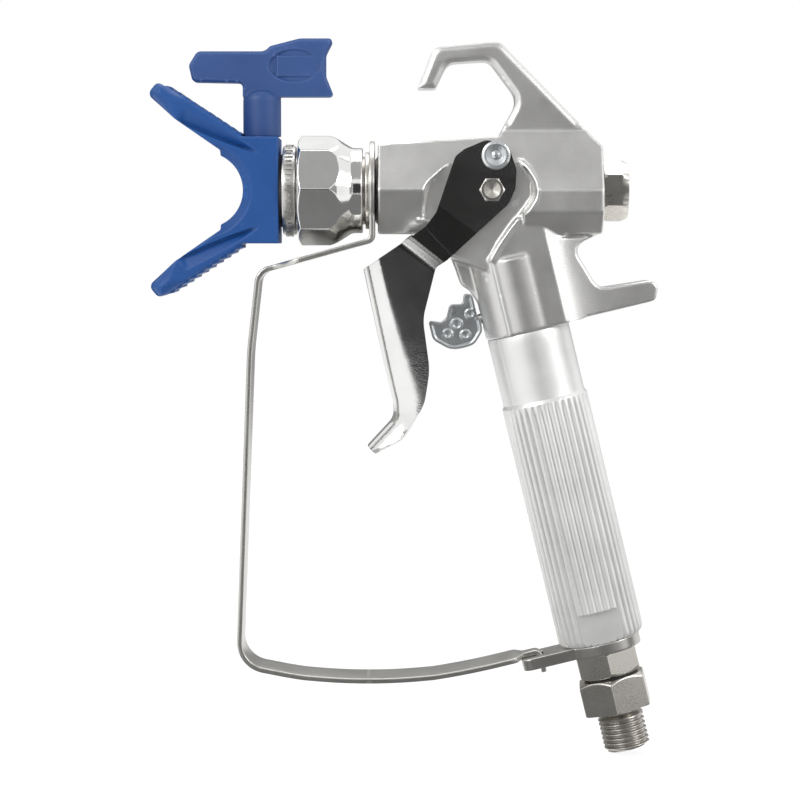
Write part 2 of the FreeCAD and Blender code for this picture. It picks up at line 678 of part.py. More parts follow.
def trigger_lock():
    """Fan-shaped latch on a pin in the rib below the barrel; turned crosswise it stops the trigger."""
    x, z = along_handle("0", "lock_reach")
    frame = (f"{ORIGIN_X} + {x}", f"{ORIGIN_Z} + {z}", "tilt")
    body = new_body("trigger_lock", frame)
    sketch = new_sketch(body, "XZ_Plane")
    outline(sketch, [(-27.6, 3.2, 0.8), (-24.0, 1.7, 0.8), (-22.2, 2.6, 2), (-20.4, 6.2, 1.2),
                     (-16.6, 5.4, 1),
                     (-15.6, 8.3, 0.8), (-13.4, 7.6, 1), (-13.4, 1.0), (-12.7, 0.2, 0.6), (-12.9, -3.4, 2),
                     (-16.2, -6.9, 4), (-23.0, -6.9, 6), (-27.6, -2.6, 3)])
    pad(body, sketch, "lock_thickness")
    sketch = new_sketch(body, "YZ_Plane", out="-lock_pin_front")
    circle_at(sketch, 0, 0, "lock_pin_radius")
    pocket(body, sketch, "15", both_ways=False, reverse=True)
    pin = new_body("lock_pin", frame)
    sketch = new_sketch(pin, "YZ_Plane", out="-lock_pin_front")
    circle_at(sketch, 0, 0, "lock_pin_radius")
    pad(pin, sketch, "lock_pin_length", both_ways=False)


# ---------------------------------------------------------------- nozzle end

def retaining_nut():
    """Eight-sided nut with a coved skirt; its front lip holds the tip guard's ring."""
    lip_rear = f"({NUT_FRONT} + nut_lip_length)"
    body = turned_along_barrel("retaining_nut", [
        (NUT_REAR, "thread_radius + fit"), (NUT_REAR, "nut_skirt_radius"),
        (f"{NUT_REAR} - 3.8", "nut_skirt_radius"), (f"{NUT_REAR} - nut_cove_length", "nut_core_radius"),
        (NUT_FRONT, "nut_core_radius"), (NUT_FRONT, "nut_lip_radius"), (lip_rear, "nut_lip_radius"),
        (lip_rear, "thread_radius + fit")])
    sketch = new_sketch(body, "YZ_Plane", out=f"{NUT_FRONT} + 0.9")
    regular_polygon(sketch, 8, "nut_radius", "0")
    circle_at(sketch, 0, 0, "nut_core_radius - 0.3")
    pad(body, sketch, "nut_length - nut_cove_length - 0.9", both_ways=False)


def guard_ring():
    """Metal ring of the tip guard, seen in front of the nut, with its flange inside the nut."""
    seal_bore = "(seat_seal_radius + seat_seal_step + 2 * fit)"
    neck = "nut_lip_radius - clearance"
    flange = "thread_radius - clearance"
    flange_front = f"({NUT_FRONT} + nut_lip_length + 0.1)"
    flange_rear = f"({flange_front} + 1.6)"
    chamber = "chamber_radius + 2 * clearance"
    turned_along_barrel("guard_collar", [
        (GUARD_RING_FRONT, seal_bore), (GUARD_RING_FRONT, "guard_ring_radius"),
        (RING_REAR, "guard_ring_radius"),
        (RING_REAR, neck), (flange_front, neck), (flange_front, flange), (flange_rear, flange),
        (flange_rear, chamber), (f"{RING_REAR} - 1", chamber), (f"{RING_REAR} - 1", seal_bore)])
    turned_along_barrel("guard_seal", tube_profile(seal_bore, "guard_seal_radius", GUARD_REAR,
                                                   GUARD_RING_FRONT))
    seal_front = f"({TIP_X} + tip_radius + clearance)"
    seal_rear = f"({DIFFUSER_FRONT} - clearance)"
    turned_along_barrel("seat_seal", [
        (seal_front, "seat_seal_bore"), (seal_front, "seat_seal_radius"),
        (GUARD_RING_FRONT, "seat_seal_radius"),
        (GUARD_RING_FRONT, "seat_seal_radius + seat_seal_step"),
        (seal_rear, "seat_seal_radius + seat_seal_step"),
        (seal_rear, "seat_seal_bore")])


def tip_guard():
    """Plastic block with two wings that hold fingers away from the spray."""
    top = "guard_height / 2"
    body = new_body("tip_guard", BARREL)
    wing_tip = f"{GUARD_FRONT} - 21"
    sketch = new_sketch(body, "XZ_Plane")
    upper = [(GUARD_REAR, top), (f"{GUARD_FRONT} + 6.2", top), (f"{wing_tip} + 3.0", f"{top} + 15.8", 1.6),
             (wing_tip, f"{top} + 12.2", 1.8), (f"{GUARD_FRONT} - 12.9", f"{top} + 5", 3),
             (GUARD_FRONT, f"{top} - 3.9")]
    lower = [(corner[0], f"-({corner[1]})", *corner[2:]) for corner in reversed(upper)]
    outline(sketch, upper + lower)
    pad(body, sketch, "guard_width")
    bowl_x = f"{GUARD_FRONT} - 4.4"
    sketch = new_sketch(body, "XY_Plane", across=bowl_x)
    side = "guard_width / 2"
    rim = "guard_bowl_radius + guard_bowl_bevel"
    outline(sketch, [(0, f"-{side} - 1"), (rim, f"-{side} - 1"), (rim, f"-{side}"),
                     ("guard_bowl_radius", f"-{side} + guard_bowl_bevel"),
                     ("guard_bowl_radius", f"{side} - guard_bowl_bevel"), (rim, side), (rim, f"{side} + 1"),
                     (0, f"{side} + 1")])
    revolve(body, sketch, "V_Axis", cut=True)
    sketch = new_sketch(body, "XY_Plane", out=f"{top} + 1")
    circle_at(sketch, TIP_X, 0, "tip_radius + fit")
    pocket(body, sketch, "guard_height - 1.5", both_ways=False)
    sketch = new_sketch(body, "XZ_Plane")
    seal_room = "seat_seal_radius + 2 * fit"
    outline(sketch, [(f"{GUARD_REAR} + 1", 0), (f"{GUARD_REAR} + 1", seal_room), (TIP_X, seal_room),
                     (TIP_X, "seat_seal_radius - 0.8"), (f"{GUARD_FRONT} + 5", "seat_seal_radius + 0.4"),
                     (f"{GUARD_FRONT} + 5", 0)])
    revolve(body, sketch, cut=True)


def tip():
    """Reversible tip: steel barrel with a carbide orifice, turned by a plastic handle."""
    foot = "-guard_height / 2 + 2.8"
    shoulder = "guard_height / 2 + clearance"
    barrel = new_body("tip_barrel", BARREL)
    sketch = new_sketch(barrel, "XZ_Plane", across=TIP_X)
    neck_top = "tip_stem_height - 4"
    outline(sketch, [(0, foot), ("tip_radius", foot), ("tip_radius", shoulder),
                     ("tip_neck_radius", shoulder),
                     ("tip_neck_radius", neck_top), (0, neck_top)])
    revolve(barrel, sketch, "V_Axis")
    sketch = new_sketch(barrel, "YZ_Plane", out=TIP_X)
    circle_at(sketch, 0, 0, "orifice_radius")
    pocket(barrel, sketch, "20")
    orifice = tube_profile("orifice_bore", "orifice_radius", f"{TIP_X} - 4", f"{TIP_X} + 4")
    turned_along_barrel("tip_orifice", orifice)
    body = new_body("tip_handle", BARREL)
    sketch = new_sketch(body, "XZ_Plane", across=TIP_X)
    outline(sketch, [(0, shoulder), ("tip_stem_radius", shoulder), ("tip_stem_radius", "tip_stem_height", 3),
                     (0, "tip_stem_height")])
    revolve(body, sketch, "V_Axis")
    sketch = new_sketch(body, "XZ_Plane", across=TIP_X)
    outline(sketch, [(-21.1, 36.1, 2), (-18.6, 40.1, 2), (1.0, 40.1, 3), (2.4, 41.6, 2), (11.0, 43.8, 6),
                     (21.0, 43.8, 1), (18.6, 39.0, 2), (18.6, 32.9, 2), (21.0, 27.0, 1), (-5.5, 27.0),
                     (-5.5, 31.0, 1.4), (-20.0, 31.3, 1.5)])
    pad(body, sketch, "tip_flag_thickness")
    sketch = new_sketch(body, "XZ_Plane", across=TIP_X)
    outline(sketch, [(0, f"{shoulder} - 1"), ("tip_neck_radius", f"{shoulder} - 1"),
                     ("tip_neck_radius", neck_top),
                     (0, neck_top)])
    revolve(body, sketch, "V_Axis", cut=True)


# ---------------------------------------------------------------- strap guard and bracket

def strap_guard():
    """Flat steel strap from the ring behind the diffuser down to the bracket under the grip."""
    ring_middle = f"({RING_FRONT} + strap_thickness / 2)"
    lying = f"({TUBE_END} - strap_thickness / 2)"
    start = "-13.0"
    front = f"({ring_middle} - strap_forward)"
    landing = along_handle("-40", lying)
    tab = along_handle("-strap_tab_reach", lying)
    tab_end = along_handle("-strap_tab_reach", f"{PLATE_END} + 2")
    floor = f"({landing[1]} - 2.9)"
    body = new_body("trigger_guard", BARREL)
    path = new_sketch(body, "XZ_Plane")
    corners = [(ring_middle, start), (ring_middle, -14.3, 1.6), (f"{front} + 6.2", -23.4, 4.4),
               (f"{front} + 3.6", -46.4, 70), (front, f"{floor} + 4.7", 7.5), (f"{front} + 24", floor, 70),
               (f"{front} + 49.5", floor, 80), (*landing, 80), (*tab, "strap_bend_radius"), tab_end]
    outline(path, corners, closed=False)
    profile = new_sketch(body, "XY_Plane", across=ring_middle, out=start)
    thin = "strap_thickness / 2"
    wide = "strap_width / 2"
    outline(profile, [(f"-{thin}", f"-{wide}"), (thin, f"-{wide}"), (thin, wide), (f"-{thin}", wide)])
    doc.recompute()
    sweep = body.newObject("PartDesign::AdditivePipe", "trigger_guard_pipe")
    sweep.Profile = profile
    sweep.Spine = path
    settle(body, sweep, cuts=False)
    plate = new_sketch(body, "YZ_Plane", out=RING_FRONT)
    circle_at(plate, 0, 0, "strap_ring_radius")
    pad(body, plate, "strap_thickness", both_ways=False)
    plate = new_sketch(body, "YZ_Plane", out=RING_FRONT)
    half = "strap_head_width / 2"
    outline(plate, [(f"-{half}", start), (half, start), (half, -2), (f"-{half}", -2)])
    pad(body, plate, "strap_thickness", both_ways=False)
    shelf = new_sketch(body, "XY_Plane", across=ring_middle, out="-14.3", turn="strap_shelf_slope",
                       turn_axis=(0, -1, 0))
    outline(shelf, [("-1.0", f"-{half}"), ("-1.0", half), (-26.5, half, 6), (-28.5, 0),
                    (-26.5, f"-{half}", 6)])
    pad(body, shelf, "strap_thickness")
    hole = new_sketch(body, "YZ_Plane", out=RING_FRONT)
    circle_at(hole, 0, 0, "chamber_radius + fit")
    pocket(body, hole, "10")
    for side in ("", "-"):
        trim = new_sketch(body, "XY_Plane", across=tab[0], out=tab[1])
        near = f"{side}strap_tab_width / 2"
        far = f"{side}strap_width"
        outline(trim, [(-5.0, near, 1.5), (8, near), (8, far), (-8.0, far)])
        pocket(body, trim, "16")


def bracket():
    """Forged plate clamped under the grip, whose tail has the slot for the strap's tab."""
    body = new_body("guard_bracket", HANDLE)
    sketch = new_sketch(body, "XY_Plane", out=f"-{PLATE_END}")
    circle_at(sketch, 0, 0, "bracket_radius")
    pad(body, sketch, "bracket_thickness", both_ways=False)
    sketch = new_sketch(body, "XY_Plane", out=f"-{PLATE_END}")
    half = "bracket_width / 2"
    outline(sketch, [(0, f"-{half}"), (0, half), ("-bracket_reach", half, 3),
                     ("-bracket_reach", f"-{half}", 3)])
    pad(body, sketch, "bracket_thickness", both_ways=False)
    sketch = new_sketch(body, "XY_Plane", across="-strap_tab_reach", out=f"-{TUBE_END}")
    front = "-strap_bend_radius - clearance"
    rear = "strap_thickness / 2 + clearance"
    tall = "(strap_tab_width / 2 + clearance)"
    outline(sketch, [(front, f"-{tall}"), (rear, f"-{tall}"), (rear, tall), (front, tall)])
    pocket(body, sketch, "10")
    sketch = new_sketch(body, "XY_Plane", out=f"-{TUBE_END}")
    circle_at(sketch, 0, 0, "bracket_hole_radius")
    pocket(body, sketch, "10")


# ---------------------------------------------------------------- handle and hose end

def handle_tube():
    """Aluminium grip: smooth collar, longer gripped part and two wrench flats at the foot."""
    collar_end = "block_reach + collar_length"
    body = turned_down_handle("handle_tube", [
        ("grip_bore_radius", SEAL_FOOT), ("socket_radius", SEAL_FOOT),
        ("socket_radius", "block_reach"), ("collar_radius", "block_reach"), ("collar_radius", collar_end),
        ("grip_radius", f"{collar_end} + 0.6"), ("grip_radius", TUBE_END, 2.2),
        ("grip_bore_radius", TUBE_END)])
    sketch = new_sketch(body, "XY_Plane", out=f"-{TUBE_END}")
    for side in ("", "-"):
        near = f"{side}wrench_flats / 2"
        far = f"{side}(grip_radius + 3)"
        outline(sketch, [(-16, near), (16, near), (16, far), (-16, far)])
    pocket(body, sketch, "wrench_flat_height", both_ways=False, reverse=True)
    seal = tube_profile("handle_seal_bore", "socket_radius", SOCKET_TOP, SEAL_FOOT)
    turned_down_handle("handle_seal", swap(seal))


def inner_filter():
    """Strainer that stands inside the grip, between two end caps."""
    screen_top = f"({SEAL_FOOT} + filter_cap_height)"
    screen_foot = f"({SCREW_TOP} - filter_cap_height)"
    screen = tube_profile("filter_radius - filter_wall", "filter_radius", screen_top, screen_foot)
    turned_down_handle("filter_screen", swap(screen))
    for name, top, foot in (("upper", SEAL_FOOT, screen_top), ("lower", screen_foot, SCREW_TOP)):
        cap = tube_profile("filter_cap_bore", "filter_radius + filter_cap_rim", top, foot)
        turned_down_handle("filter_cap_" + name, swap(cap))


def inlet_fitting():
    """Six-sided fitting screwed up into the grip; the swivel turns in its foot."""
    seat = f"({FITTING_END} - swivel_spigot_length - 0.4)"
    screw = "grip_bore_radius - 0.5"
    core = "fitting_flats / 2 - 0.1"
    body = turned_down_handle("inlet_fitting", [
        ("fitting_bore_radius", SCREW_TOP), (screw, SCREW_TOP), (screw, PLATE_END), (core, PLATE_END),
        (core, FITTING_END), ("swivel_spigot_radius + fit", FITTING_END),
        ("swivel_spigot_radius + fit", seat),
        ("fitting_bore_radius", seat)])
    sketch = new_sketch(body, "XY_Plane", out=f"-{FITTING_END}")
    regular_polygon(sketch, 6, "fitting_flats / 2 / cos(30)", "fitting_turn")
    circle_at(sketch, 0, 0, f"{core} - 0.3")
    pad(body, sketch, "fitting_height", both_ways=False)


def swivel_stud():
    """Stud that turns in the fitting and ends in the hose thread."""
    spigot_top = f"({FITTING_END} - swivel_spigot_length)"
    core = "swivel_flats / 2 - 0.1"
    body = turned_down_handle("swivel_stud", [
        ("hose_bore_radius", spigot_top), ("swivel_spigot_radius", spigot_top),
        ("swivel_spigot_radius", SWIVEL_TOP), (core, SWIVEL_TOP), (core, SWIVEL_HEX_END),
        ("swivel_neck_radius", SWIVEL_HEX_END), ("swivel_neck_radius", THREAD_TOP),
        ("hose_thread_radius", THREAD_TOP), ("hose_thread_radius", THREAD_END),
        ("hose_bore_radius", THREAD_END)])
    sketch = new_sketch(body, "XY_Plane", out=f"-{SWIVEL_HEX_END}")
    regular_polygon(sketch, 6, "swivel_flats / 2 / cos(30)", "swivel_turn")
    circle_at(sketch, 0, 0, f"{core} - 0.3")
    pad(body, sketch, "swivel_hex_height", both_ways=False)
    inside = "(swivel_spigot_radius + fit)"
    washer = tube_profile(inside, f"{inside} + swivel_washer_width", f"{FITTING_END} + fit", SWIVEL_TOP)
    turned_down_handle("swivel_washer", swap(washer))


def write_parts():
    """Check every object and every sub-part, then write one file for each sub-part."""
    doc.recompute()
    failed = [item.Name for item in doc.Objects if {"Invalid", "Error"} & set(item.State)]
    for body in nodes:
        shape = body.Shape
        if shape.isNull() or not shape.isValid() or len(shape.Solids) != 1:
            failed.append(body.Label)
    if failed:
        raise RuntimeError("not built: " + ", ".join(failed))
    os.makedirs("parts", exist_ok=True)
    for body in nodes:
        body.Shape.exportStep(f"parts/{body.Label}.step")
    print(len(nodes), "sub-parts written")


nodes = []
gun_body()
rear_cap()
needle()
packings()
diffuser()
trigger()
trigger_pins()
trigger_lock()
retaining_nut()
guard_ring()
tip_guard()
tip()
strap_guard()
bracket()
handle_tube()
inner_filter()
inlet_fitting()
swivel_stud()
write_parts()
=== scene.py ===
# %% [markdown]
# # An airless spray gun, cell by cell
# The handpiece of an airless paint sprayer: a forged gun body with a hollow grip, a bent sheet
# trigger, a blue tip guard with its reversible tip, a steel strap in front of the fingers and a
# swivel stud for the hose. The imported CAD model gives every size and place. Blender gives the
# shapes their small radii, grooves and threads, and gives each metal and plastic its finish.

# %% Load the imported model
import bpy
import bmesh
import json
import math
from functools import partial
import numpy as np
from mathutils import Matrix, Vector
from mathutils.geometry import delaunay_2d_cdt


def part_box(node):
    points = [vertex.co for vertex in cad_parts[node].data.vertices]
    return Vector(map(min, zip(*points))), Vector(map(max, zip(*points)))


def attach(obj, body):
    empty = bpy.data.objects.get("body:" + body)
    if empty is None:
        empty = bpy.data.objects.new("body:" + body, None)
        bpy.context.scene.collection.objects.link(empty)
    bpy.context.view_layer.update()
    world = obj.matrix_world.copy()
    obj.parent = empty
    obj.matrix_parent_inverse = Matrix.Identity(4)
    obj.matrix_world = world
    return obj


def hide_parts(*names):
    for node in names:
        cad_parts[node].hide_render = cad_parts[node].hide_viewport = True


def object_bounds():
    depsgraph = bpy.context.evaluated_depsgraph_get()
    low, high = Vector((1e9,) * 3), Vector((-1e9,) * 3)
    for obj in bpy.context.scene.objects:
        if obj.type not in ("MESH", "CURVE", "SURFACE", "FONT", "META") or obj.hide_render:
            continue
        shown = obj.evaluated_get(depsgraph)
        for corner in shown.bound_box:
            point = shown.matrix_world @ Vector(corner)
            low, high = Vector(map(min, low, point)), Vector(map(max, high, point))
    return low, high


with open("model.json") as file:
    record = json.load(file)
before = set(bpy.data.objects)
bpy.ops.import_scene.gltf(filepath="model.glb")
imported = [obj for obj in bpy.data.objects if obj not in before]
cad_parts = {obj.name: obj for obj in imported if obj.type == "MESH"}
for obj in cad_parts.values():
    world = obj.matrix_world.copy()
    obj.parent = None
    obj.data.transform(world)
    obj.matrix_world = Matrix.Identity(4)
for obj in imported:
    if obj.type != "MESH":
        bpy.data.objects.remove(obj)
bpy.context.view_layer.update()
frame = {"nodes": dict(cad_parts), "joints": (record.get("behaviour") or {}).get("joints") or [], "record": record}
nodes = frame["nodes"]

# %% [markdown]
# ## Two working frames
# Parts along the barrel are easiest to draw from the point where the barrel axis crosses the
# grip's axis; parts along the grip need that frame leaned by the grip's tilt. Both are matrices
# from millimetres to the model's metres. They are read from the record: the pivot and the rear cap
# give the crossing point, and the hose mount gives the grip's direction.

# %% Frames of the barrel, the grip and the tip
MM = 0.001
pivot = next(joint for joint in frame["joints"] if joint["name"] == "trigger_pull")["pos_m"]
tip_axis = next(joint for joint in frame["joints"] if joint["name"] == "tip_turn")["pos_m"]
hose = next(mount for mount in frame["record"]["mounts"] if mount["name"] == "hose_thread")
cap_low, cap_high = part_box("end_cap")
crossing = Vector((pivot[0], 0, (cap_low.z + cap_high.z) / 2))
tilt = math.atan2(hose["axis"][0], -hose["axis"][2])
BARREL = Matrix.Translation(crossing) @ Matrix.Scale(MM, 4)
GRIP = Matrix.Translation(crossing) @ Matrix.Rotation(tilt, 4, (0, -1, 0)) @ Matrix.Scale(MM, 4)
TIP_X = (tip_axis[0] - crossing.x) / MM
PIVOT_Z = (pivot[2] - crossing.z) / MM


def span(node, place):
    """A CAD node's lowest and highest corners in a working frame, in millimetres."""
    spots = np.array([place.inverted() @ corner.co for corner in nodes[node].data.vertices])
    return spots.min(0), spots.max(0)


print("tilt", round(math.degrees(tilt), 2), "tip axis at", round(TIP_X, 2), "pivot at", round(PIVOT_Z, 2))

# %% [markdown]
# ## Helpers for shapes
# Real edges are never sharp, so every outline is rounded corner by corner before it is turned or
# swept. A turned part is a ring of such outlines; its radius may be held in by a rule, which
# gives hexagons, octagons and threads without a boolean.

# %% Rounded outlines
def soften(corners, radius=0.0, closed=True, fine=0.35):
    """Round each corner (a, b) of an outline; a third number is that corner's own radius."""
    rounded = []
    for i, corner in enumerate(corners):
        here = Vector(corner[:2])
        own = corner[2] if len(corner) > 2 else radius
        if own <= 0 or (not closed and i in (0, len(corners) - 1)):
            rounded.append(here)
            continue
        back = Vector(corners[i - 1][:2]) - here
        ahead = Vector(corners[(i + 1) % len(corners)][:2]) - here
        half = back.angle(ahead) / 2
        run = min(own / math.tan(half), 0.48 * back.length, 0.48 * ahead.length)
        own = run * math.tan(half)
        middle = (back.normalized() + ahead.normalized()).normalized()
        centre = here + middle * (own / math.sin(half))
        spoke = here + back.normalized() * run - centre
        sweep = math.copysign(math.pi - 2 * half, ahead.cross(back))
        steps = max(2, round(own * abs(sweep) / fine))
        for k in range(steps + 1):
            turn = Matrix.Rotation(sweep * k / steps, 2)
            rounded.append(centre + turn @ spoke)
    return rounded


def divide(points, longest, closed=True):
    """Add points so that no run of an outline is longer than a given length."""
    dense = []
    ends = points[1:] + points[:1] if closed else points[1:]
    for start, end in zip(points, ends):
        count = max(1, math.ceil((end - start).length / longest))
        dense += [start.lerp(end, k / count) for k in range(count)]
    return dense if closed else dense + [points[-1]]


print("a softened square has", len(soften([(0, 0), (4, 0), (4, 4), (0, 4)], 1)), "points")

# %% Making an object
WELD = 0.002
CREASE = 35
ALL_SMOOTH = 180


def new_object(name, data):
    """An object that is in the scene."""
    made = bpy.data.objects.new(name, data)
    bpy.context.scene.collection.objects.link(made)
    return made


def weld(mesh, outward=False):
    """Join a mesh's coinciding points and, if asked, turn its faces outward."""
    form = bmesh.new()
    form.from_mesh(mesh)
    bmesh.ops.remove_doubles(form, verts=form.verts, dist=WELD)
    if outward:
        bmesh.ops.recalc_face_normals(form, faces=form.faces)
    form.to_mesh(mesh)
    form.free()


def shade(mesh, crease=CREASE):
    """Smooth shading that breaks at edges sharper than crease degrees."""
    mesh.polygons.foreach_set("use_smooth", [True] * len(mesh.polygons))
    mesh.set_sharp_from_angle(angle=math.radians(crease))


def piece(name, points, faces, place, crease=CREASE):
    """An object from points in a working frame's millimetres, welded and facing outward."""
    mesh = bpy.data.meshes.new(name)
    mesh.from_pydata([tuple(point) for point in points], [], faces)
    weld(mesh, outward=True)
    mesh.transform(place)
    shade(mesh, crease)
    return new_object(name, mesh)


def settle(made, crease=CREASE):
    """Turn an object's modifiers into its plain mesh."""
    graph = bpy.context.evaluated_depsgraph_get()
    mesh = bpy.data.meshes.new_from_object(made.evaluated_get(graph), depsgraph=graph)
    made.modifiers.clear()
    made.data = mesh
    shade(mesh, crease)
    return made


print("helpers for objects ready")

# %% Turned parts
def turned(name, profile, place, down=False, sides=96, first=0.0, hold=None, crease=CREASE):
    """Turn a closed half section of (along, radius) points about the frame's long axis."""
    points = []
    for k in range(sides):
        angle = first + 2 * math.pi * k / sides
        for along, radius in profile:
            if hold:
                radius = hold(angle, along, radius)
            a = radius * math.cos(angle)
            b = radius * math.sin(angle)
            points.append((a, b, -along) if down else (along, a, b))
    count = len(profile)
    faces = []
    for k in range(sides):
        here, there = k * count, (k + 1) % sides * count
        faces += [(here + j, here + (j + 1) % count, there + (j + 1) % count, there + j)
                  for j in range(count)]
    return piece(name, points, faces, place, crease)


def polygon_hold(corners, flats, first=0.0, soft=0.35):
    """A rule that holds a turned radius in to a regular polygon of a given width over its flats."""
    step = 2 * math.pi / corners

    def hold(angle, along, radius):
        flat = flats / 2 / math.cos((angle - first) % step - step / 2)
        near = max(0.0, soft - abs(flat - radius))
        return min(flat, radius) - near * near / (4 * soft)

    return hold


corner = polygon_hold(6, 10, 0.0, 0.1)(0.0, 0.0, 9.0)
print("a hexagon 10 across its flats is", round(2 * corner, 2), "across its corners")

# %% [markdown]
# ## Helpers for cast and moulded parts
# A casting or moulding has soft edges everywhere. A copy of the CAD mesh is remeshed evenly,
# which rounds its edges, then smoothed. Its sides can be carved by a rule that says how far out
# the surface may stand at each point of the side view: that makes ribs, recesses and dished faces.

# %% Even remeshing and carving
MOST_FACES = 90000


def cad_copy(name, node, place):
    """A welded copy of a CAD node, in a working frame's millimetres."""
    mesh = nodes[node].data.copy()
    mesh.transform(place.inverted())
    mesh.materials.clear()
    weld(mesh)
    return new_object(name, mesh)


def smooth(made, rounds):
    """Add a smoothing modifier of so many rounds."""
    soft = made.modifiers.new("soft", "SMOOTH")
    soft.factor = 0.5
    soft.iterations = rounds


def remesh(made, cell, rounds):
    """Give an object an even mesh of small cells and smooth it."""
    even = made.modifiers.new("even", "REMESH")
    even.mode = "VOXEL"
    even.voxel_size = cell
    smooth(made, rounds)
    return settle(made, ALL_SMOOTH)


def smooth_and_thin(made, rounds):
    """Smooth a carved mesh again and thin it to at most MOST_FACES."""
    smooth(made, rounds)
    thin = made.modifiers.new("thin", "DECIMATE")
    thin.ratio = min(1.0, MOST_FACES / len(made.data.polygons))
    return settle(made, ALL_SMOOTH)


def carve(made, rule):
    """Move the points of a mesh; the rule takes and returns arrays of x, y and z."""
    mesh = made.data
    spots = np.empty(len(mesh.vertices) * 3)
    mesh.vertices.foreach_get("co", spots)
    spots = spots.reshape(-1, 3)
    x, y, z = rule(spots[:, 0], spots[:, 1], spots[:, 2])
    mesh.vertices.foreach_set("co", np.stack([x, y, z], 1).ravel())
    mesh.update()


def depth_inside(x, z, outline):
    """How far points of the side view lie inside a closed outline; negative outside it."""
    nearest = np.full(x.shape, np.inf)
    inside = np.zeros(x.shape, bool)
    no_zero = 1e-12
    for (ax, az), (bx, bz) in zip(outline, outline[1:] + outline[:1]):
        run = (bx - ax) ** 2 + (bz - az) ** 2 + no_zero
        t = np.clip(((x - ax) * (bx - ax) + (z - az) * (bz - az)) / run, 0, 1)
        nearest = np.minimum(nearest, np.hypot(x - ax - t * (bx - ax), z - az - t * (bz - az)))
        if az != bz:
            inside ^= ((az > z) != (bz > z)) & (x < (bx - ax) * (z - az) / (bz - az) + ax)
    return np.where(inside, nearest, -nearest)


def ease(value):
    """A smooth step from 0 to 1."""
    value = np.clip(value, 0, 1)
    return value * value * (3 - 2 * value)


def place_mesh(made, place, crease=ALL_SMOOTH):
    """Move a mesh from its working frame's millimetres to the model's metres."""
    made.data.transform(place)
    shade(made.data, crease)


print("half way up a smooth step:", float(ease(0.5)))

# %% [markdown]
# ## Finishes
# Four effects are shared by the materials, so each is a node group: long streaks from a brush or
# a lathe, a fine grain from blasting or moulding, cloudy marks from handling, and the lighter
# edges where a corner is rubbed, together with painted shade in the hollows. Each material gives
# them its own sizes and adds its own shader.

# %% Small helpers for shader nodes
def add(tree, kind, inputs=None, **settings):
    """A node with its inputs set or linked."""
    node = tree.nodes.new(kind)
    for name, value in settings.items():
        setattr(node, name, value)
    for name, value in (inputs or {}).items():
        if isinstance(value, bpy.types.NodeSocket):
            tree.links.new(value, node.inputs[name])
        else:
            node.inputs[name].default_value = value
    return node


def math_node(tree, operation, *values):
    """A float math node's result."""
    return add(tree, "ShaderNodeMath", dict(enumerate(values)), operation=operation).outputs[0]


def blend(tree, amount, under, over):
    """A colour between two others."""
    inputs = {0: amount, 6: under, 7: over}
    return add(tree, "ShaderNodeMix", inputs, data_type="RGBA").outputs[2]


def new_group(name, inputs, outputs):
    """An empty shader node group with named inputs and outputs."""
    group = bpy.data.node_groups.new(name, "ShaderNodeTree")
    for label, kind, value in inputs:
        socket = group.interface.new_socket(label, in_out="INPUT", socket_type="NodeSocket" + kind)
        if value is not None:
            socket.default_value = value
    for label in outputs:
        group.interface.new_socket(label, in_out="OUTPUT", socket_type="NodeSocketFloat")
    return group, group.nodes.new("NodeGroupInput"), group.nodes.new("NodeGroupOutput")


def empty_tree(owner):
    """A material's or a world's node tree with nothing in it."""
    owner.use_nodes = True
    owner.node_tree.nodes.clear()
    return owner.node_tree


print("helpers for shader nodes ready")

# %% Streaks left by a brush or a lathe
streaks, entry, leave = new_group(
    "streaks", [("Vector", "Vector", None), ("Lines per Metre", "Float", 4000.0)], ["Lines"])
squeeze = add(streaks, "ShaderNodeVectorMath", {0: entry.outputs["Vector"], 1: (0.02, 1.0, 1.0)},
              operation="MULTIPLY")
fine = add(streaks, "ShaderNodeTexNoise", {
    "Vector": squeeze.outputs[0], "Detail": 4.0, "Scale": entry.outputs["Lines per Metre"]})
streaks.links.new(fine.outputs["Fac"], leave.inputs["Lines"])
print("node group", streaks.name)

# %% Fine grain
grain, entry, leave = new_group(
    "grain", [("Vector", "Vector", None), ("Grains per Metre", "Float", 3000.0)], ["Height"])
shared = {"Vector": entry.outputs["Vector"], "Scale": entry.outputs["Grains per Metre"]}
coarse = add(grain, "ShaderNodeTexNoise", {**shared, "Detail": 3.0})
cells = add(grain, "ShaderNodeTexVoronoi", shared)
both = math_node(grain, "ADD", coarse.outputs["Fac"], cells.outputs["Distance"])
grain.links.new(both, leave.inputs["Height"])
print("node group", grain.name)

# %% Cloudy marks from handling
marks, entry, leave = new_group(
    "handling_marks", [("Vector", "Vector", None), ("Patches per Metre", "Float", 60.0)],
    ["Patches"])
cloud = add(marks, "ShaderNodeTexNoise", {
    "Vector": entry.outputs["Vector"], "Detail": 6.0, "Roughness": 0.62,
    "Scale": entry.outputs["Patches per Metre"]})
even = add(marks, "ShaderNodeMapRange", {
    "Value": cloud.outputs["Fac"], "From Min": 0.33, "From Max": 0.68})
marks.links.new(even.outputs[0], leave.inputs["Patches"])
print("node group", marks.name)

# %% Rubbed edges and painted shade in hollows
EDGE_FROM = 0.51
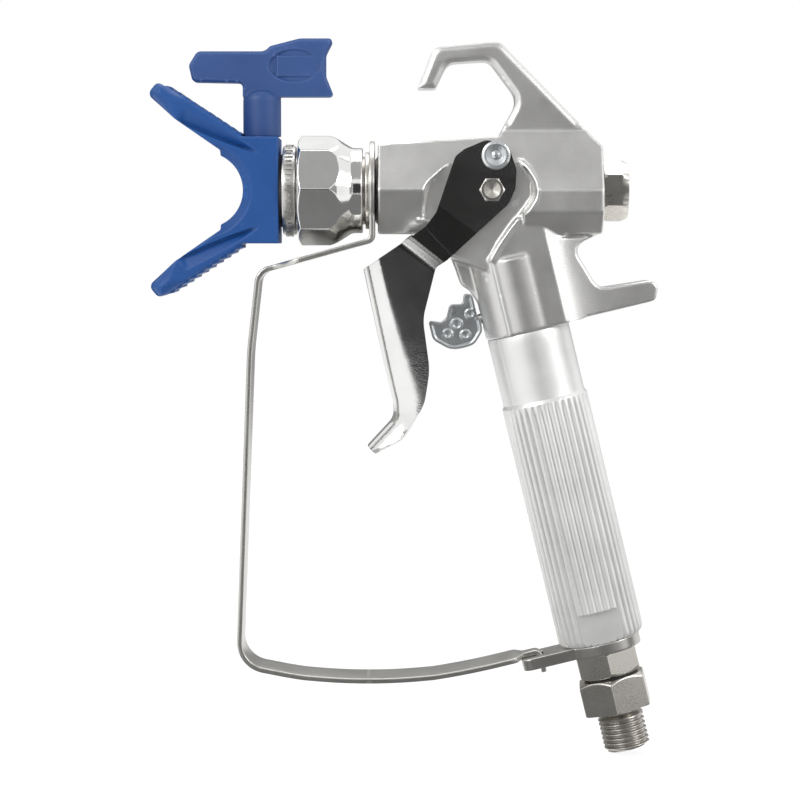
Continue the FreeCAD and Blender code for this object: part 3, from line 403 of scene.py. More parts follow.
# The second mask finds concave hollows; the materials paint shade into them.
HOLLOW_FROM, HOLLOW_TO = 0.485, 0.40
rubbing_and_shade, entry, leave = new_group("rubbed_edges_and_hollow_shade", [("Reach", "Float", 0.06)], ["Edges", "Hollow_Shade"])
curve = add(rubbing_and_shade, "ShaderNodeNewGeometry").outputs["Pointiness"]
edge_to = math_node(rubbing_and_shade, "ADD", entry.outputs["Reach"], EDGE_FROM)
for label, start, stop in (("Edges", EDGE_FROM, edge_to), ("Hollow_Shade", HOLLOW_FROM, HOLLOW_TO)):
    spread = add(rubbing_and_shade, "ShaderNodeMapRange", {"Value": curve, "From Min": start, "From Max": stop})
    rubbing_and_shade.links.new(spread.outputs[0], leave.inputs[label])
print("node group", rubbing_and_shade.name)

# %% A surface from the four effects
materials = {}
# How dark the painted shade in the hollows gets, as a share of the colour.
SHADE_IN_HOLLOWS = 0.25


def surface(name, colour, rubbed_colour, roughness, metallic, grains, bump, lines=0.0, along=0.0,
            line_count=4000.0, tone=0.12, hollow_shade=0.55):
    """A material for one of the record's slots, or for a piece that differs from its slot.

    roughness is its lowest and highest value, grains their number per metre, bump their height in
    metres, lines how strongly the streaks show, along the angle of their direction about Y, tone
    how much the marks from handling darken and hollow_shade how strongly shade is painted into the hollows.
    """
    material = bpy.data.materials.new(name)
    tree = empty_tree(material)
    coords = add(tree, "ShaderNodeTexCoord")
    turned_coords = add(tree, "ShaderNodeMapping", {
        "Vector": coords.outputs["Object"], "Rotation": (0.0, along, 0.0)})
    vector = turned_coords.outputs["Vector"]
    brushed = add(tree, "ShaderNodeGroup", {"Vector": vector, "Lines per Metre": line_count},
                  node_tree=streaks)
    grainy = add(tree, "ShaderNodeGroup", {"Vector": vector, "Grains per Metre": grains},
                 node_tree=grain)
    handled = add(tree, "ShaderNodeGroup", {"Vector": vector}, node_tree=marks)
    edge_wear_and_shade = add(tree, "ShaderNodeGroup", node_tree=rubbing_and_shade)
    # dark is the colour of the painted shade in the hollows; darker is the tone of the handling marks.
    darker, dark = (tuple(channel * part for channel in colour) for part in (1 - tone, SHADE_IN_HOLLOWS))
    handled_colour = blend(tree, handled.outputs["Patches"], (*darker, 1), (*colour, 1))
    worn_colour = blend(tree, edge_wear_and_shade.outputs["Edges"], handled_colour, (*rubbed_colour, 1))
    # Painted shade: the base colour darkens in concave hollows, where shade would fall.
    hollow_shade_here = math_node(tree, "MULTIPLY", edge_wear_and_shade.outputs["Hollow_Shade"], hollow_shade)
    uneven = math_node(tree, "MULTIPLY_ADD", brushed.outputs["Lines"], lines,
                       handled.outputs["Patches"])
    rough = add(tree, "ShaderNodeMapRange", {
        "Value": uneven, "From Min": 0.0, "From Max": 1.0 + lines,
        "To Min": roughness[0], "To Max": roughness[1]})
    height = math_node(tree, "MULTIPLY_ADD", brushed.outputs["Lines"], lines * 1.5,
                       grainy.outputs["Height"])
    dent = add(tree, "ShaderNodeBump", {"Height": height, "Distance": bump, "Strength": 1.0})
    shader = add(tree, "ShaderNodeBsdfPrincipled", {
        "Base Color": blend(tree, hollow_shade_here, worn_colour, (*dark, 1)),
        "Roughness": rough.outputs[0], "Normal": dent.outputs[0], "Metallic": metallic})
    add(tree, "ShaderNodeOutputMaterial", {"Surface": shader.outputs[0]})
    materials[name] = material


print("shared effects:", [group.name for group in (streaks, grain, marks, rubbing_and_shade)])

# %% [markdown]
# ## The materials themselves
# The gun body is blasted and then brushed aluminium, the grip is brighter drawn tube, the trigger
# and the nut are chromed and the fittings are dull nickel. The trigger's chrome is worn at its
# edges and coarser than the nut's. The two plastics differ: the guard is a stronger blue than the
# tip.

# %% Metals
surface("cast_aluminium", (0.79, 0.785, 0.77), (0.94, 0.94, 0.93), (0.30, 0.42), 0.95, 3500.0,
        2.0e-5, lines=0.8, line_count=2600.0, hollow_shade=0.25)
surface("grip_aluminium", (0.93, 0.93, 0.92), (0.98, 0.98, 0.97), (0.34, 0.46), 0.62, 4000.0,
        1.0e-5, lines=1.2, along=math.pi / 2 + tilt, line_count=3500.0, hollow_shade=0.35)
surface("chrome", (0.88, 0.88, 0.87), (0.97, 0.97, 0.96), (0.07, 0.14), 1.0, 1900.0, 5.0e-6)
surface("trigger_chrome", (0.87, 0.87, 0.86), (0.36, 0.36, 0.35), (0.08, 0.16), 1.0, 2300.0,
        1.1e-5)
surface("plated_steel", (0.60, 0.59, 0.56), (0.80, 0.79, 0.76), (0.24, 0.38), 1.0, 2500.0, 1.2e-5,
        lines=0.8, along=math.pi / 2, line_count=3000.0)
surface("stainless", (0.66, 0.635, 0.59), (0.86, 0.83, 0.78), (0.22, 0.36), 1.0, 2600.0, 1.0e-5,
        lines=0.9, along=tilt, line_count=2500.0)
surface("zinc", (0.74, 0.77, 0.79), (0.92, 0.94, 0.95), (0.22, 0.34), 0.95, 2500.0, 1.5e-5)
surface("carbide", (0.34, 0.34, 0.35), (0.55, 0.55, 0.56), (0.18, 0.28), 1.0, 5000.0, 4.0e-6)
print("metals:", list(materials))

# %% Plastics and rubber
surface("guard_plastic", (0.006, 0.078, 0.310), (0.012, 0.096, 0.345), (0.42, 0.56), 0.0, 2600.0,
        1.4e-5, tone=0.10)
surface("tip_plastic", (0.032, 0.088, 0.280), (0.09, 0.17, 0.42), (0.44, 0.58), 0.0, 2600.0, 1.4e-5,
        tone=0.10)
surface("inner_plastic", (0.80, 0.80, 0.76), (0.90, 0.90, 0.87), (0.40, 0.52), 0.0, 2500.0, 8.0e-6)
surface("seal_rubber", (0.022, 0.022, 0.023), (0.05, 0.05, 0.05), (0.62, 0.78), 0.0, 3500.0, 1.2e-5)
print("materials:", len(materials))

# %% Dressing a piece
def dress(made, body, slot, *replaced):
    """Give a piece its material, parent it to its body's empty and hide the CAD nodes that it stands for."""
    made.data.materials.clear()
    made.data.materials.append(materials[slot])
    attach(made, body)
    if replaced:
        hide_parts(*replaced)
    print(made.name, len(made.data.polygons), "faces")


print("slots of the record:", [name for name in materials if name != "trigger_chrome"])

# %% [markdown]
# ## Camera
# The gun is seen square from its left side by a long lens, a little above its middle.

# %% Camera
camera_data = bpy.data.cameras.new("camera")
camera_data.sensor_width = 36
camera_data.lens = 107.9
camera = new_object("camera", camera_data)
camera.location = crossing + Vector((-27.4, -700.0, -15.8)) * MM
aim = crossing + Vector((-27.4, 0.0, -61.0)) * MM
camera.rotation_mode = "QUATERNION"
camera.rotation_quaternion = (aim - camera.location).to_track_quat("-Z", "Y")
bpy.context.scene.camera = camera
print("camera at", [round(v, 3) for v in camera.location])

# %% [markdown]
# ## Gun body
# The body is one forging, machined on its faces. Its edges are soft, the recess in which the
# trigger swings has a sloping wall, and a narrow bead runs along that wall's top edge. Both are
# carved into the evenly remeshed copy: the wall holds the sides in, the bead lets them out.

# %% Forged gun body
body = remesh(cad_copy("forged_body", "gun_body", BARREL), 0.42, 3)
recess = soften([
    (-11.6, 14.0), (-11.6, 9.5), (-18.8, 1.5, 5), (-20.6, -6.5), (-22.0, -30), (-2.1, -30),
    (-2.1, -19.8), (0.5, -15.3), (4.1, -10.2, 8), (8.2, -5.1, 6), (10.4, -1.6, 4), (10.2, 2.6, 5),
    (8.2, 6.4, 8), (5.2, 9.8), (5.2, 14.0)])
rim = [(6.3, 9.6), (9.4, 6.4), (11.2, 2.7), (11.7, 0.1), (11.0, -3.0), (8.9, -6.0), (4.7, -10.9),
       (1.4, -15.9), (-1.0, -20.0)]
hook = soften([
    (1.2, 12.0), (1.2, 15.8, 0.8), (6.8, 26.0, 5), (-1.7, 37.4, 3.5), (-13.7, 36.6, 3.5),
    (-17.2, 29.2), (-22.4, 29.2), (-17.5, 41.5, 4), (0.9, 43.2, 5), (31.0, 12.6), (31.0, 12.0)])
FLOOR_Y, WALL_SLOPE, WALL_REACH = 10.4, 3.4, 1.35
BODY_HALF, BLOCK_HALF, TANG_HALF = 15, 11.4, 7.5
BLOCK_END, TANG_Z, FILLET_RUN = 10.9, -13.5, 5.0
FACET_SLOPE, CHIN_SLOPE, CHIN_X, CHIN_Z = 0.577, 0.97, 8, -6.4
LEAST_OUT = 9.8
BEAD_RISE, BEAD_HALF = 0.5, 1.2
HOOK_Z, HOOK_HALF, HOOK_BAND, HOOK_CUT = 19, 5.2, 1.3, 0.8
NO_LIMIT = 99


def body_skin(x, z):
    """How far out the body's own side stands outside the recess."""
    chin = BODY_HALF - CHIN_SLOPE * np.clip(CHIN_Z - z, 0, 9)
    below = np.where(x > CHIN_X, chin, BODY_HALF + FACET_SLOPE * np.clip(z, -13, 0))
    below = np.where(z < -8, np.maximum(below, BLOCK_HALF), below)
    return np.where(z > 0, BODY_HALF - FACET_SLOPE * np.clip(z, 0, 17), below)


def body_sides(x, y, z):
    """Slope the recess's wall, raise its bead, chamfer the hook and fillet the tang."""
    side, out = np.sign(y), np.abs(y)
    inside = depth_inside(x, z, recess)
    wall = FLOOR_Y + WALL_SLOPE * np.clip(-inside, 0, 9)
    near = (inside > -WALL_REACH) & (inside < 3) & (z < 12) & (z > -20.5) & (out > LEAST_OUT)
    out = np.where(near, np.minimum(wall, body_skin(x, z)), out)
    from_rim = -depth_inside(x, z, rim + rim[::-1])
    out = out + BEAD_RISE * ease(1 - from_rim / BEAD_HALF) * (out > LEAST_OUT)
    from_edge = np.clip(HOOK_BAND - depth_inside(x, z, hook), 0, HOOK_BAND)
    out = np.minimum(out, np.where(z > HOOK_Z, HOOK_HALF - HOOK_CUT * from_edge, NO_LIMIT))
    across = x * math.cos(tilt) + z * math.sin(tilt)
    fade = np.exp(-np.clip(across - BLOCK_END, 0, 40) / FILLET_RUN)
    beside = (across > BLOCK_END) & (z < TANG_Z) & (out > TANG_HALF - 0.25)
    return x, side * np.where(beside, TANG_HALF + (BLOCK_HALF - TANG_HALF) * fade, out), z


carve(body, body_sides)
smooth_and_thin(body, 5)
place_mesh(body, BARREL)
dress(body, "gun", "cast_aluminium", "gun_body")

# %% [markdown]
# ## Rear cap
# A six-sided plug closes the spring chamber. Its corners are turned down by a chamfer, so each
# flat ends in an arc. A turned outline held in to a hexagon gives just that.

# %% Rear cap
cap_rear = span("end_cap", BARREL)[1][0]
gasket_rear = span("end_cap_gasket", BARREL)[1][0]
CAP_FLATS, CAP_R, CAP_TURN = 15.4, 9.2, math.radians(30)
profile = soften([
    (gasket_rear - 1.5, 0), (gasket_rear - 1.5, 6.4), (gasket_rear, 6.4), (gasket_rear, 8.65),
    (gasket_rear + 0.8, 8.65), (gasket_rear + 0.8, CAP_R), (cap_rear - 1.9, CAP_R),
    (cap_rear, 7.9, 0.3), (cap_rear, 0)], 0.12)
cap = turned("rear_cap", profile, BARREL, sides=192, first=CAP_TURN,
             hold=polygon_hold(6, CAP_FLATS, CAP_TURN, 0.25))
dress(cap, "gun", "stainless", "end_cap")

# %% [markdown]
# ## Retaining nut
# The big chromed nut is eight-sided in front and sweeps down through a cove to a round skirt. The
# same outline-and-hold way makes it: where the eight flats run out into the cove, the curved
# edges of the real nut appear by themselves.

# %% Retaining nut
low, high = span("retaining_nut", BARREL)
front, rear = low[0], high[0]
NUT_R = 15.9
nut_hold = polygon_hold(8, 2 * NUT_R * math.cos(math.pi / 8), 0.0, 0.3)
profile = soften([
    (rear, 11.2), (rear, 12.3, 0.4), (rear - 3.0, 12.3, 3), (rear - 7.3, 15.0, 3),
    (rear - 9.6, NUT_R + 0.05, 2.5), (front + 1.0, NUT_R + 0.05, 0.3), (front, 14.3, 0.5),
    (front, 10.1, 0.3), (front + 2.4, 10.1), (front + 2.4, 11.2)], 0.1)
nut = turned("retaining_nut_chromed", divide(profile, 0.5), BARREL, sides=256, hold=nut_hold,
             crease=50)
dress(nut, "gun", "chrome", "retaining_nut")

# %% [markdown]
# ## Valve housing and strap ring
# Behind the nut three thin discs show edge on: the housing's relief, its flange and the steel
# strap's ring.

# %% Valve housing
low, high = span("diffuser", BARREL)
flange_front, flange_rear = rear + 0.8, rear + 2.0
BORE_R, STEM_R, HOUSING_R, FLANGE_R = 4.0, 7.0, 11.05, 11.1
profile = soften([
    (high[0], BORE_R), (high[0], STEM_R), (flange_rear, STEM_R), (flange_rear, FLANGE_R, 0.25),
    (flange_front, FLANGE_R, 0.25), (flange_front, 9.8, 0.15), (rear - 0.6, 9.8, 0.15),
    (rear - 0.6, HOUSING_R, 0.3), (rear - 11.0, HOUSING_R, 0.3), (rear - 11.0, STEM_R),
    (low[0], STEM_R, 0.3), (low[0], 2.4), (rear - 8.8, 2.4), (rear - 8.8, BORE_R)], 0.05)
dress(turned("valve_housing", profile, BARREL), "gun", "stainless", "diffuser")

# %% [markdown]
# ## Strap guard
# The strap is one length of flat steel. It is swept along its path with a width that changes: wide
# where it leaves the ring, then a rounded shoulder, then even, and a narrow tab at the end that
# drops through the bracket.

# %% Steel strap
tube_end = -span("handle_tube", GRIP)[0][2]
plate_end = -span("guard_bracket", GRIP)[0][2]
STRAP = 1.5
TAB_REACH = 18.8
ring_middle = flange_rear + STRAP / 2


def on_grip(across, reach):
    """A point of the grip's frame in the barrel's side view."""
    return (across * math.cos(tilt) + reach * math.sin(tilt),
            across * math.sin(tilt) - reach * math.cos(tilt))


lying = tube_end - STRAP / 2
landing = on_grip(-40, lying)
strap_front = ring_middle - 39.0
strap_floor = landing[1] - 2.9
LONG_BEND = 400
path = soften([
    (ring_middle, -7.2), (ring_middle, -14.3, 1.8), (strap_front + 6.2, -23.4, 4.6),
    (strap_front + 3.6, -46.4, 70), (strap_front, strap_floor + 4.7, 8.5),
    (strap_front + 24, strap_floor, LONG_BEND), (strap_front + 49.5, strap_floor, LONG_BEND),
    (*landing, LONG_BEND), (*on_grip(-TAB_REACH, lying), 1.5),
    on_grip(-TAB_REACH, plate_end + 2)], closed=False)
path = divide(path, 1.2, closed=False)
foot_run = [i for i, spot in enumerate(path)
            if spot.y < strap_floor + 1.2 and spot.x < landing[0]]
EASING_SWEEPS = 600
for sweep in range(EASING_SWEEPS):
    for i in foot_run[1:-1]:
        path[i] = (path[i - 1] + path[i] * 2 + path[i + 1]) / 4
reach = [0.0]
for before, after in zip(path, path[1:]):
    reach.append(reach[-1] + (after - before).length)
WIDE, EVEN, TAB = 26.0, 16.0, 5.0
SHOULDER_AT, SHOULDER_RUN = 29.0, 7.0
TAB_LENGTH, TAB_RUN = 13.0, 3.0


def strap_width(at):
    """Width of the strap at a distance along its path."""
    shoulder = float(ease((at - SHOULDER_AT) / SHOULDER_RUN))
    tab = float(ease((at - (reach[-1] - TAB_LENGTH)) / TAB_RUN))
    return WIDE + (EVEN - WIDE) * shoulder + (TAB - EVEN) * tab


points = []
for i, spot in enumerate(path):
    ahead = (path[min(i + 1, len(path) - 1)] - path[max(i - 1, 0)]).normalized()
    across = Vector((-ahead.y, ahead.x))
    half, thin = strap_width(reach[i]) / 2, STRAP / 2
    corners = [(-thin, -half), (thin, -half), (thin, half), (-thin, half)]
    for u, v in soften(corners, 0.4, fine=0.2):
        out = spot + across * u
        points.append((out.x, v, out.y))
ring = len(points) // len(path)
faces = [(i * ring + j, i * ring + (j + 1) % ring, (i + 1) * ring + (j + 1) % ring, (i + 1) * ring + j)
         for i in range(len(path) - 1) for j in range(ring)]
faces += [tuple(range(ring)), tuple(range(len(points) - ring, len(points)))]
strap = piece("steel_strap", points, faces, BARREL)
dress(strap, "gun", "plated_steel", "trigger_guard")
EYE_HALF, EYE_INNER, EYE_OUTER = 0.72, 7.05, 14.3
eye = turned("strap_ring", soften([
    (ring_middle - EYE_HALF, EYE_INNER), (ring_middle + EYE_HALF, EYE_INNER),
    (ring_middle + EYE_HALF, EYE_OUTER), (ring_middle - EYE_HALF, EYE_OUTER)], 0.3), BARREL)
dress(eye, "gun", "plated_steel")

# %% [markdown]
# ## Trigger
# The trigger is one sheet of steel, bent to a channel for the fingers and joggled outward to two
# legs, then chromed. Chrome shows every ripple, so the rounded front is a regular grid that
# follows the bend, and only the flat sides are filled freely. The sheet's outside is built, its
# thickness is added inward, and its cut edges are broken by a small bevel.

# %% Trigger outline and the bend along its front
FINGER_HALF, LEG_HALF = 9.5, 12.6
BEND, BEND_GROWTH, BEND_GROWN = 6.0, 3.2, 0.8
COLUMNS, TOP_ROWS, SPREAD = 14, 14, 5
LEAST_RUN, MOST_RUN, NEARLY = 0.4, 60.0, 0.001
front_line = soften([
    (-38.0, -22.7), (-34.3, -40.0), (-32.0, -50.5, 30), (-29.4, -61.6, 8), (-29.2, -66.0, 8),
    (-36.8, -74.2)], closed=False)
front_line = divide(front_line, 0.8, closed=False)
rear_line = soften([
    (-35.7, -75.6), (-27.0, -71.8, 6), (-20.4, -62.0, 12), (-18.8, -51.8, 20), (-20.8, -37.0, 14),
    (-17.1, -22.2, 2), (-13.9, -20.1, 2), (3.7, -4.0, 3.5), (5.6, 0.3, 3.5), (5.9, 5.8, 3.5),
    (3.4, 13.0, 5.0), (-2.8, 14.2, 4), (-9.0, 11.6, 2.5), (-11.6, 9.6, 3), (-17.0, -6.4, 4),
    (-19.9, -10.3, 3), (-23.9, -13.2, 2), (-38.0, -22.7)], closed=False)
rear_line = divide(rear_line, 0.9, closed=False)
deepest = len(front_line) - 1


def inward(i):
    """The direction across the sheet from a point of its front line."""
    ahead = front_line[min(i + SPREAD, deepest)] - front_line[max(i - SPREAD, 0)]
    return Vector((-ahead.y, ahead.x)).normalized()


def reach_rear(start, direction):
    """The distance from a point of the front line to the rear line."""
    best = MOST_RUN
    for a, b in zip(rear_line, rear_line[1:]):
        run = b - a
        cross = direction.cross(run)
        if abs(cross) > 1e-9:
            along = (a - start).cross(run) / cross
            where = (a - start).cross(direction) / cross
            if LEAST_RUN < along < best and -NEARLY <= where <= 1 + NEARLY:
                best = along
    return best


def bend_depth(i):
    """How far the bend reaches back from the front line; it widens toward the finger's tip."""
    return BEND + BEND_GROWTH * float(ease(i / deepest / BEND_GROWN))


top_edge = (rear_line[-2] - rear_line[-1]).normalized()
top_slope = math.tan(top_edge.angle(inward(0)))
bend_rows = []
full = None
for i, start in enumerate(front_line):
    direction = inward(i)
    deep = bend_depth(i)
    room = reach_rear(start, direction) if i else deep
    if full is None and room < deep:
        full = i - 1
    if full is not None:
        deep = max(deep, room + 0.01)
    last = math.acos(1 - min(deep, room) / deep)
    row = []
    for k in range(COLUMNS + 1):
        angle = last * k / COLUMNS
        spot = start + direction * (deep * (1 - math.cos(angle)))
        if i < TOP_ROWS:
            rise = (spot - start).length * top_slope
            down = (front_line[1] - front_line[0]).normalized()
            spot = spot - down * rise * (1 - i / TOP_ROWS)
        row.append((spot, FINGER_HALF - BEND + BEND * math.sin(angle)))
    bend_rows.append(row)
print("bend rows:", len(bend_rows), "of which", full + 1, "reach the flat side")

# %% Flat sides with the joggle
JOGGLE = Vector((-24.7, -15.0))
JOGGLE_RUN = Vector((9.2, -7.2)).normalized()
JOGGLE_OUT = Vector((7.2, 9.2)).normalized()
JOGGLE_HALF, JOGGLE_STEPS = 1.7, 8


def side_height(spot):
    """How far out the flat side stands: the finger channel, the joggle or a leg."""
    step = float(ease(((spot - JOGGLE).dot(JOGGLE_OUT) / JOGGLE_HALF + 1) / 2))
    return FINGER_HALF + (LEG_HALF - FINGER_HALF) * step


def key(spot):
    """A point's coordinates, rounded so that equal points match."""
    return tuple(round(v, 4) for v in spot)


border_rows = bend_rows[:full + 2]
border = [row[-1][0] for row in border_rows]
heights = {key(row[-1][0]): row[-1][1] for row in border_rows}
start_at = min(range(len(rear_line) // 2), key=lambda i: (rear_line[i] - border[-1]).length)
edge_end = (border[0] - rear_line[-1]).dot(top_edge) + 0.3
loop = border + [spot for spot in rear_line[start_at + 1:-1]
                 if (spot - rear_line[-1]).dot(top_edge) > edge_end
                 or abs((spot - rear_line[-1]).cross(top_edge)) > 0.5]
flat_points = list(loop)
flat_edges = []
for k in range(-JOGGLE_STEPS, JOGGLE_STEPS + 1):
    middle = JOGGLE + JOGGLE_OUT * (JOGGLE_HALF * k / JOGGLE_STEPS)
    flat_edges.append((len(flat_points), len(flat_points) + 1))
    flat_points += [middle - JOGGLE_RUN * 3, middle + JOGGLE_RUN * 17]
flat = delaunay_2d_cdt(flat_points, flat_edges, [list(range(len(loop)))], 1, 1e-5)
print("flat side:", len(flat[2]), "triangles")

# %% Trigger sheet
SHEET, EDGE_BREAK, TRIGGER_CREASE = 1.8, 0.3, 12
WEB = 6
width = COLUMNS + 1
points = []
faces = []
for side in (1, -1):
    start = len(points)
    for row in bend_rows:
        points += [(spot.x, side * y, spot.y) for spot, y in row]
    for i in range(deepest):
        for k in range(COLUMNS):
            a = start + i * width + k
            faces.append((a, a + 1, a + 1 + width, a + width)[::side])
    start = len(points)
    points += [(spot.x, side * heights.get(key(spot), side_height(spot)), spot.y)
               for spot in flat[0]]
    faces += [tuple(start + j for j in face[::side]) for face in flat[2]]
start = len(points)
for spot in front_line:
    points += [(spot.x, (FINGER_HALF - BEND) * (1 - 2 * k / WEB), spot.y) for k in range(WEB + 1)]
for i in range(deepest):
    for k in range(WEB):
        a = start + i * (WEB + 1) + k
        faces.append((a, a + WEB + 1, a + WEB + 2, a + 1))
trigger = piece("trigger_sheet", points, faces, Matrix.Identity(4), 60)
form = bmesh.new()
form.from_mesh(trigger.data)
outermost = max(form.faces, key=lambda face: face.calc_center_median().y)
if outermost.normal.y < 0:
    bmesh.ops.reverse_faces(form, faces=form.faces)
form.to_mesh(trigger.data)
form.free()
wall = trigger.modifiers.new("wall", "SOLIDIFY")
wall.thickness = SHEET
wall.offset = -1
wall.use_even_offset = True
wall.use_quality_normals = True
broken = trigger.modifiers.new("broken_edges", "BEVEL")
broken.width = EDGE_BREAK
broken.segments = 3
broken.limit_method = "ANGLE"
broken.angle_limit = math.radians(50)
settle(trigger, TRIGGER_CREASE)
place_mesh(trigger, BARREL, TRIGGER_CREASE)
dress(trigger, "trigger_set", "chrome", "trigger")
trigger.data.materials[0] = materials["trigger_chrome"]

# %% [markdown]
# ## Pivot bolt and actuating pin
# Both cross the trigger. The pivot bolt's round head is dished with fine turning marks, and the pin
# below it has a small six-sided head with a drilled cone.

# %% Pins across the trigger
def across_body(x, z, side):
    """A frame whose long axis points out of one side of the gun; -1 is the left side."""
    return BARREL @ Matrix.Translation((x, 0, z)) @ Matrix.Rotation(side * math.pi / 2, 4, "Z")


PIN_X = -1.1
PIN_FLATS, BOLT_FLATS = 6.4, 7.1
leg_face = LEG_HALF + 0.1
head = leg_face + 1.5
end = head + 0.5
bolt_profile = soften([
    (-leg_face, 0), (-leg_face, 2.9), (leg_face, 2.9), (leg_face, 4.1), (head - 0.1, 4.1, 0.6),
    (head, 3.0, 0.4), (head - 0.55, 1.4, 0.3), (head - 0.15, 0.45, 0.2), (head - 0.15, 0)], 0.05)
bolt = turned("pivot_bolt_head", bolt_profile, across_body(0, PIVOT_Z, -1))
dress(bolt, "gun", "zinc", "pivot_bolt")
pin_profile = soften([
    (-leg_face, 0), (-leg_face, 1.9), (leg_face, 1.9), (leg_face, 3.75), (head - 0.35, 3.75),
    (head, 3.1, 0.2), (head, 2.4, 0.2), (head - 0.7, 0.3, 0.2), (head - 0.7, 0)], 0.05)
nut_profile = soften([
    (leg_face, 0), (leg_face, 4.2), (end - 0.6, 4.2), (end, 3.3, 0.2), (end, 2.0, 0.2),
    (end - 0.35, 1.8, 0.1), (end - 0.35, 0)], 0.05)
for name, profile, node, body_name, place, flats in (
        ("actuator_pin_head", pin_profile, "actuator_pin", "trigger_set",
         across_body(PIN_X, 0, -1), PIN_FLATS),
        ("pivot_nut_hex", nut_profile, "pivot_nut", "gun", across_body(0, PIVOT_Z, 1), BOLT_FLATS),
        ("actuator_nut_hex", nut_profile, "actuator_nut", "trigger_set",
         across_body(PIN_X, 0, 1), PIN_FLATS)):
    hexagon = turned(name, profile, place, sides=144, hold=polygon_hold(6, flats, 0.0, 0.15))
    dress(hexagon, body_name, "stainless", node)

# %% [markdown]
# ## Trigger lock
# A small die-cast fan that turns on a pin in front of the grip. Its faces have a raised border, a
# rib, and small round pads; all are carved into the sides of the remeshed copy.

# %% Trigger lock
LOCK_HALF = span("trigger_lock", GRIP)[1][1]
lock = remesh(cad_copy("lock_fan", "trigger_lock", GRIP), 0.2, 2)
LOCK_REACH = 35.3
fan = soften([
    (-27.6, 3.2, 0.8), (-24.0, 1.7, 0.8), (-22.2, 2.6, 2), (-20.4, 6.2, 1.2), (-16.6, 5.4, 1),
    (-15.6, 8.3, 0.8), (-13.4, 7.6, 1), (-13.4, 1.0), (-12.7, 0.2, 0.6), (-12.9, -3.4, 2),
    (-16.2, -6.9, 4), (-23.0, -6.9, 6), (-27.6, -2.6, 3)])
fan = [Vector((spot.x, spot.y - LOCK_REACH)) for spot in fan]
pads = [(-19.8, 0.2, 1.3), (-23.0, -2.0, 1.1), (-18.0, -3.4, 1.1), (-15.2, 2.2, 1.1)]
SINK = 0.45
BORDER, BORDER_SLOPE = 0.75, 0.35
PAD_RING, PAD_IN, PAD_SLOPE = 0.45, 0.25, 0.3


def lock_sides(x, y, z):
    """Sink the faces inside their border and leave a ring round each pad."""
    inside = depth_inside(x, z, fan)
    sunk = SINK * ease((inside - BORDER) / BORDER_SLOPE)
    for px, pz, radius in pads:
        away = np.hypot(x - px, z + LOCK_REACH - pz)
        middle = SINK * ease((radius - PAD_IN - away) / PAD_SLOPE)
        sunk = np.where(away < radius + PAD_RING, middle, sunk)
    held = LOCK_HALF - sunk
    return x, np.clip(y, -held, held), z


carve(lock, lock_sides)
place_mesh(lock, GRIP)
dress(lock, "lock", "zinc", "trigger_lock")
print("lock is", round(2 * LOCK_HALF, 2), "thick")

# %% [markdown]
# ## Grip
# The grip is drawn tube with flutes round its gripped part. Geometry Nodes press the flutes in: for
# each point of a dense turned tube the angle about the grip's axis gives a row of rounded ribs
# with narrow valleys, faded out at the collar, and two flats for a wrench hold the foot in.

# %% Geometry Nodes helpers
def new_recipe(name, inputs):
    """A geometry tree with a geometry input and output and more named inputs."""
    tree = bpy.data.node_groups.new(name, "GeometryNodeTree")
    for way in ("INPUT", "OUTPUT"):
        tree.interface.new_socket("Geometry", in_out=way, socket_type="NodeSocketGeometry")
    keys = {}
    for label, kind in inputs.items():
        socket = tree.interface.new_socket(label, in_out="INPUT", socket_type="NodeSocket" + kind)
        keys[label] = socket.identifier
    return tree, keys, tree.nodes.new("NodeGroupInput").outputs


def close_recipe(tree, given, result):
    """Make a tree's result real, give it the named material and hand it out."""
    solid = add(tree, "GeometryNodeRealizeInstances", {"Geometry": result})
    coated = add(tree, "GeometryNodeSetMaterial", {
        "Geometry": solid.outputs[0], "Material": given["Material"]})
    tree.links.new(coated.outputs[0], tree.nodes.new("NodeGroupOutput").inputs[0])
    print("geometry tree", tree.name, "with", len(tree.nodes), "nodes")


def join(tree, *parts):
    """Several geometries as one."""
    joined = add(tree, "GeometryNodeJoinGeometry")
    for part in parts:
        tree.links.new(part, joined.inputs[0])
    return joined.outputs[0]


def vector_node(tree, operation, *values, output=0, **named):
    """A vector math node's result."""
    inputs = {**dict(enumerate(values)), **named}
    return add(tree, "ShaderNodeVectorMath", inputs, operation=operation).outputs[output]


def follow(made, tree, keys, values):
    """Run a geometry tree on an object and keep its result as a plain mesh."""
    step = made.modifiers.new(tree.name, "NODES")
    step.node_group = tree
    for label, value in values.items():
        step[keys[label]] = value
    return settle(made)


print("helpers for geometry trees ready")

# %% Tree that presses flutes into a tube
flutes, flute_keys, given = new_recipe("flutes", {
    "Count": "Float", "Depth": "Float", "Axis Point": "Vector", "Axis": "Vector", "Side": "Vector",
    "Start": "Float", "Fade": "Float", "Flat Start": "Float", "Flat Half": "Float",
    "Material": "Material"})
number, vector = partial(math_node, flutes), partial(vector_node, flutes)
BORE_SIDE = 0.0105
ANYWHERE = 1.0
here = add(flutes, "GeometryNodeInputPosition").outputs[0]
arm = vector("SUBTRACT", here, given["Axis Point"])
reached = vector("DOT_PRODUCT", arm, given["Axis"], output="Value")
radial = vector("SUBTRACT", arm, vector("SCALE", given["Axis"], Scale=reached))
outward = vector("NORMALIZE", radial)
sideways = vector("DOT_PRODUCT", outward, given["Side"], output="Value")
upright = add(flutes, "ShaderNodeSeparateXYZ", {0: outward}).outputs["Y"]
half_turns = number("MULTIPLY", number("ARCTAN2", upright, sideways),
                    number("MULTIPLY", given["Count"], 0.5))
rib = number("ABSOLUTE", number("SINE", half_turns))
valley = number("POWER", number("SUBTRACT", 1.0, rib), 1.3)
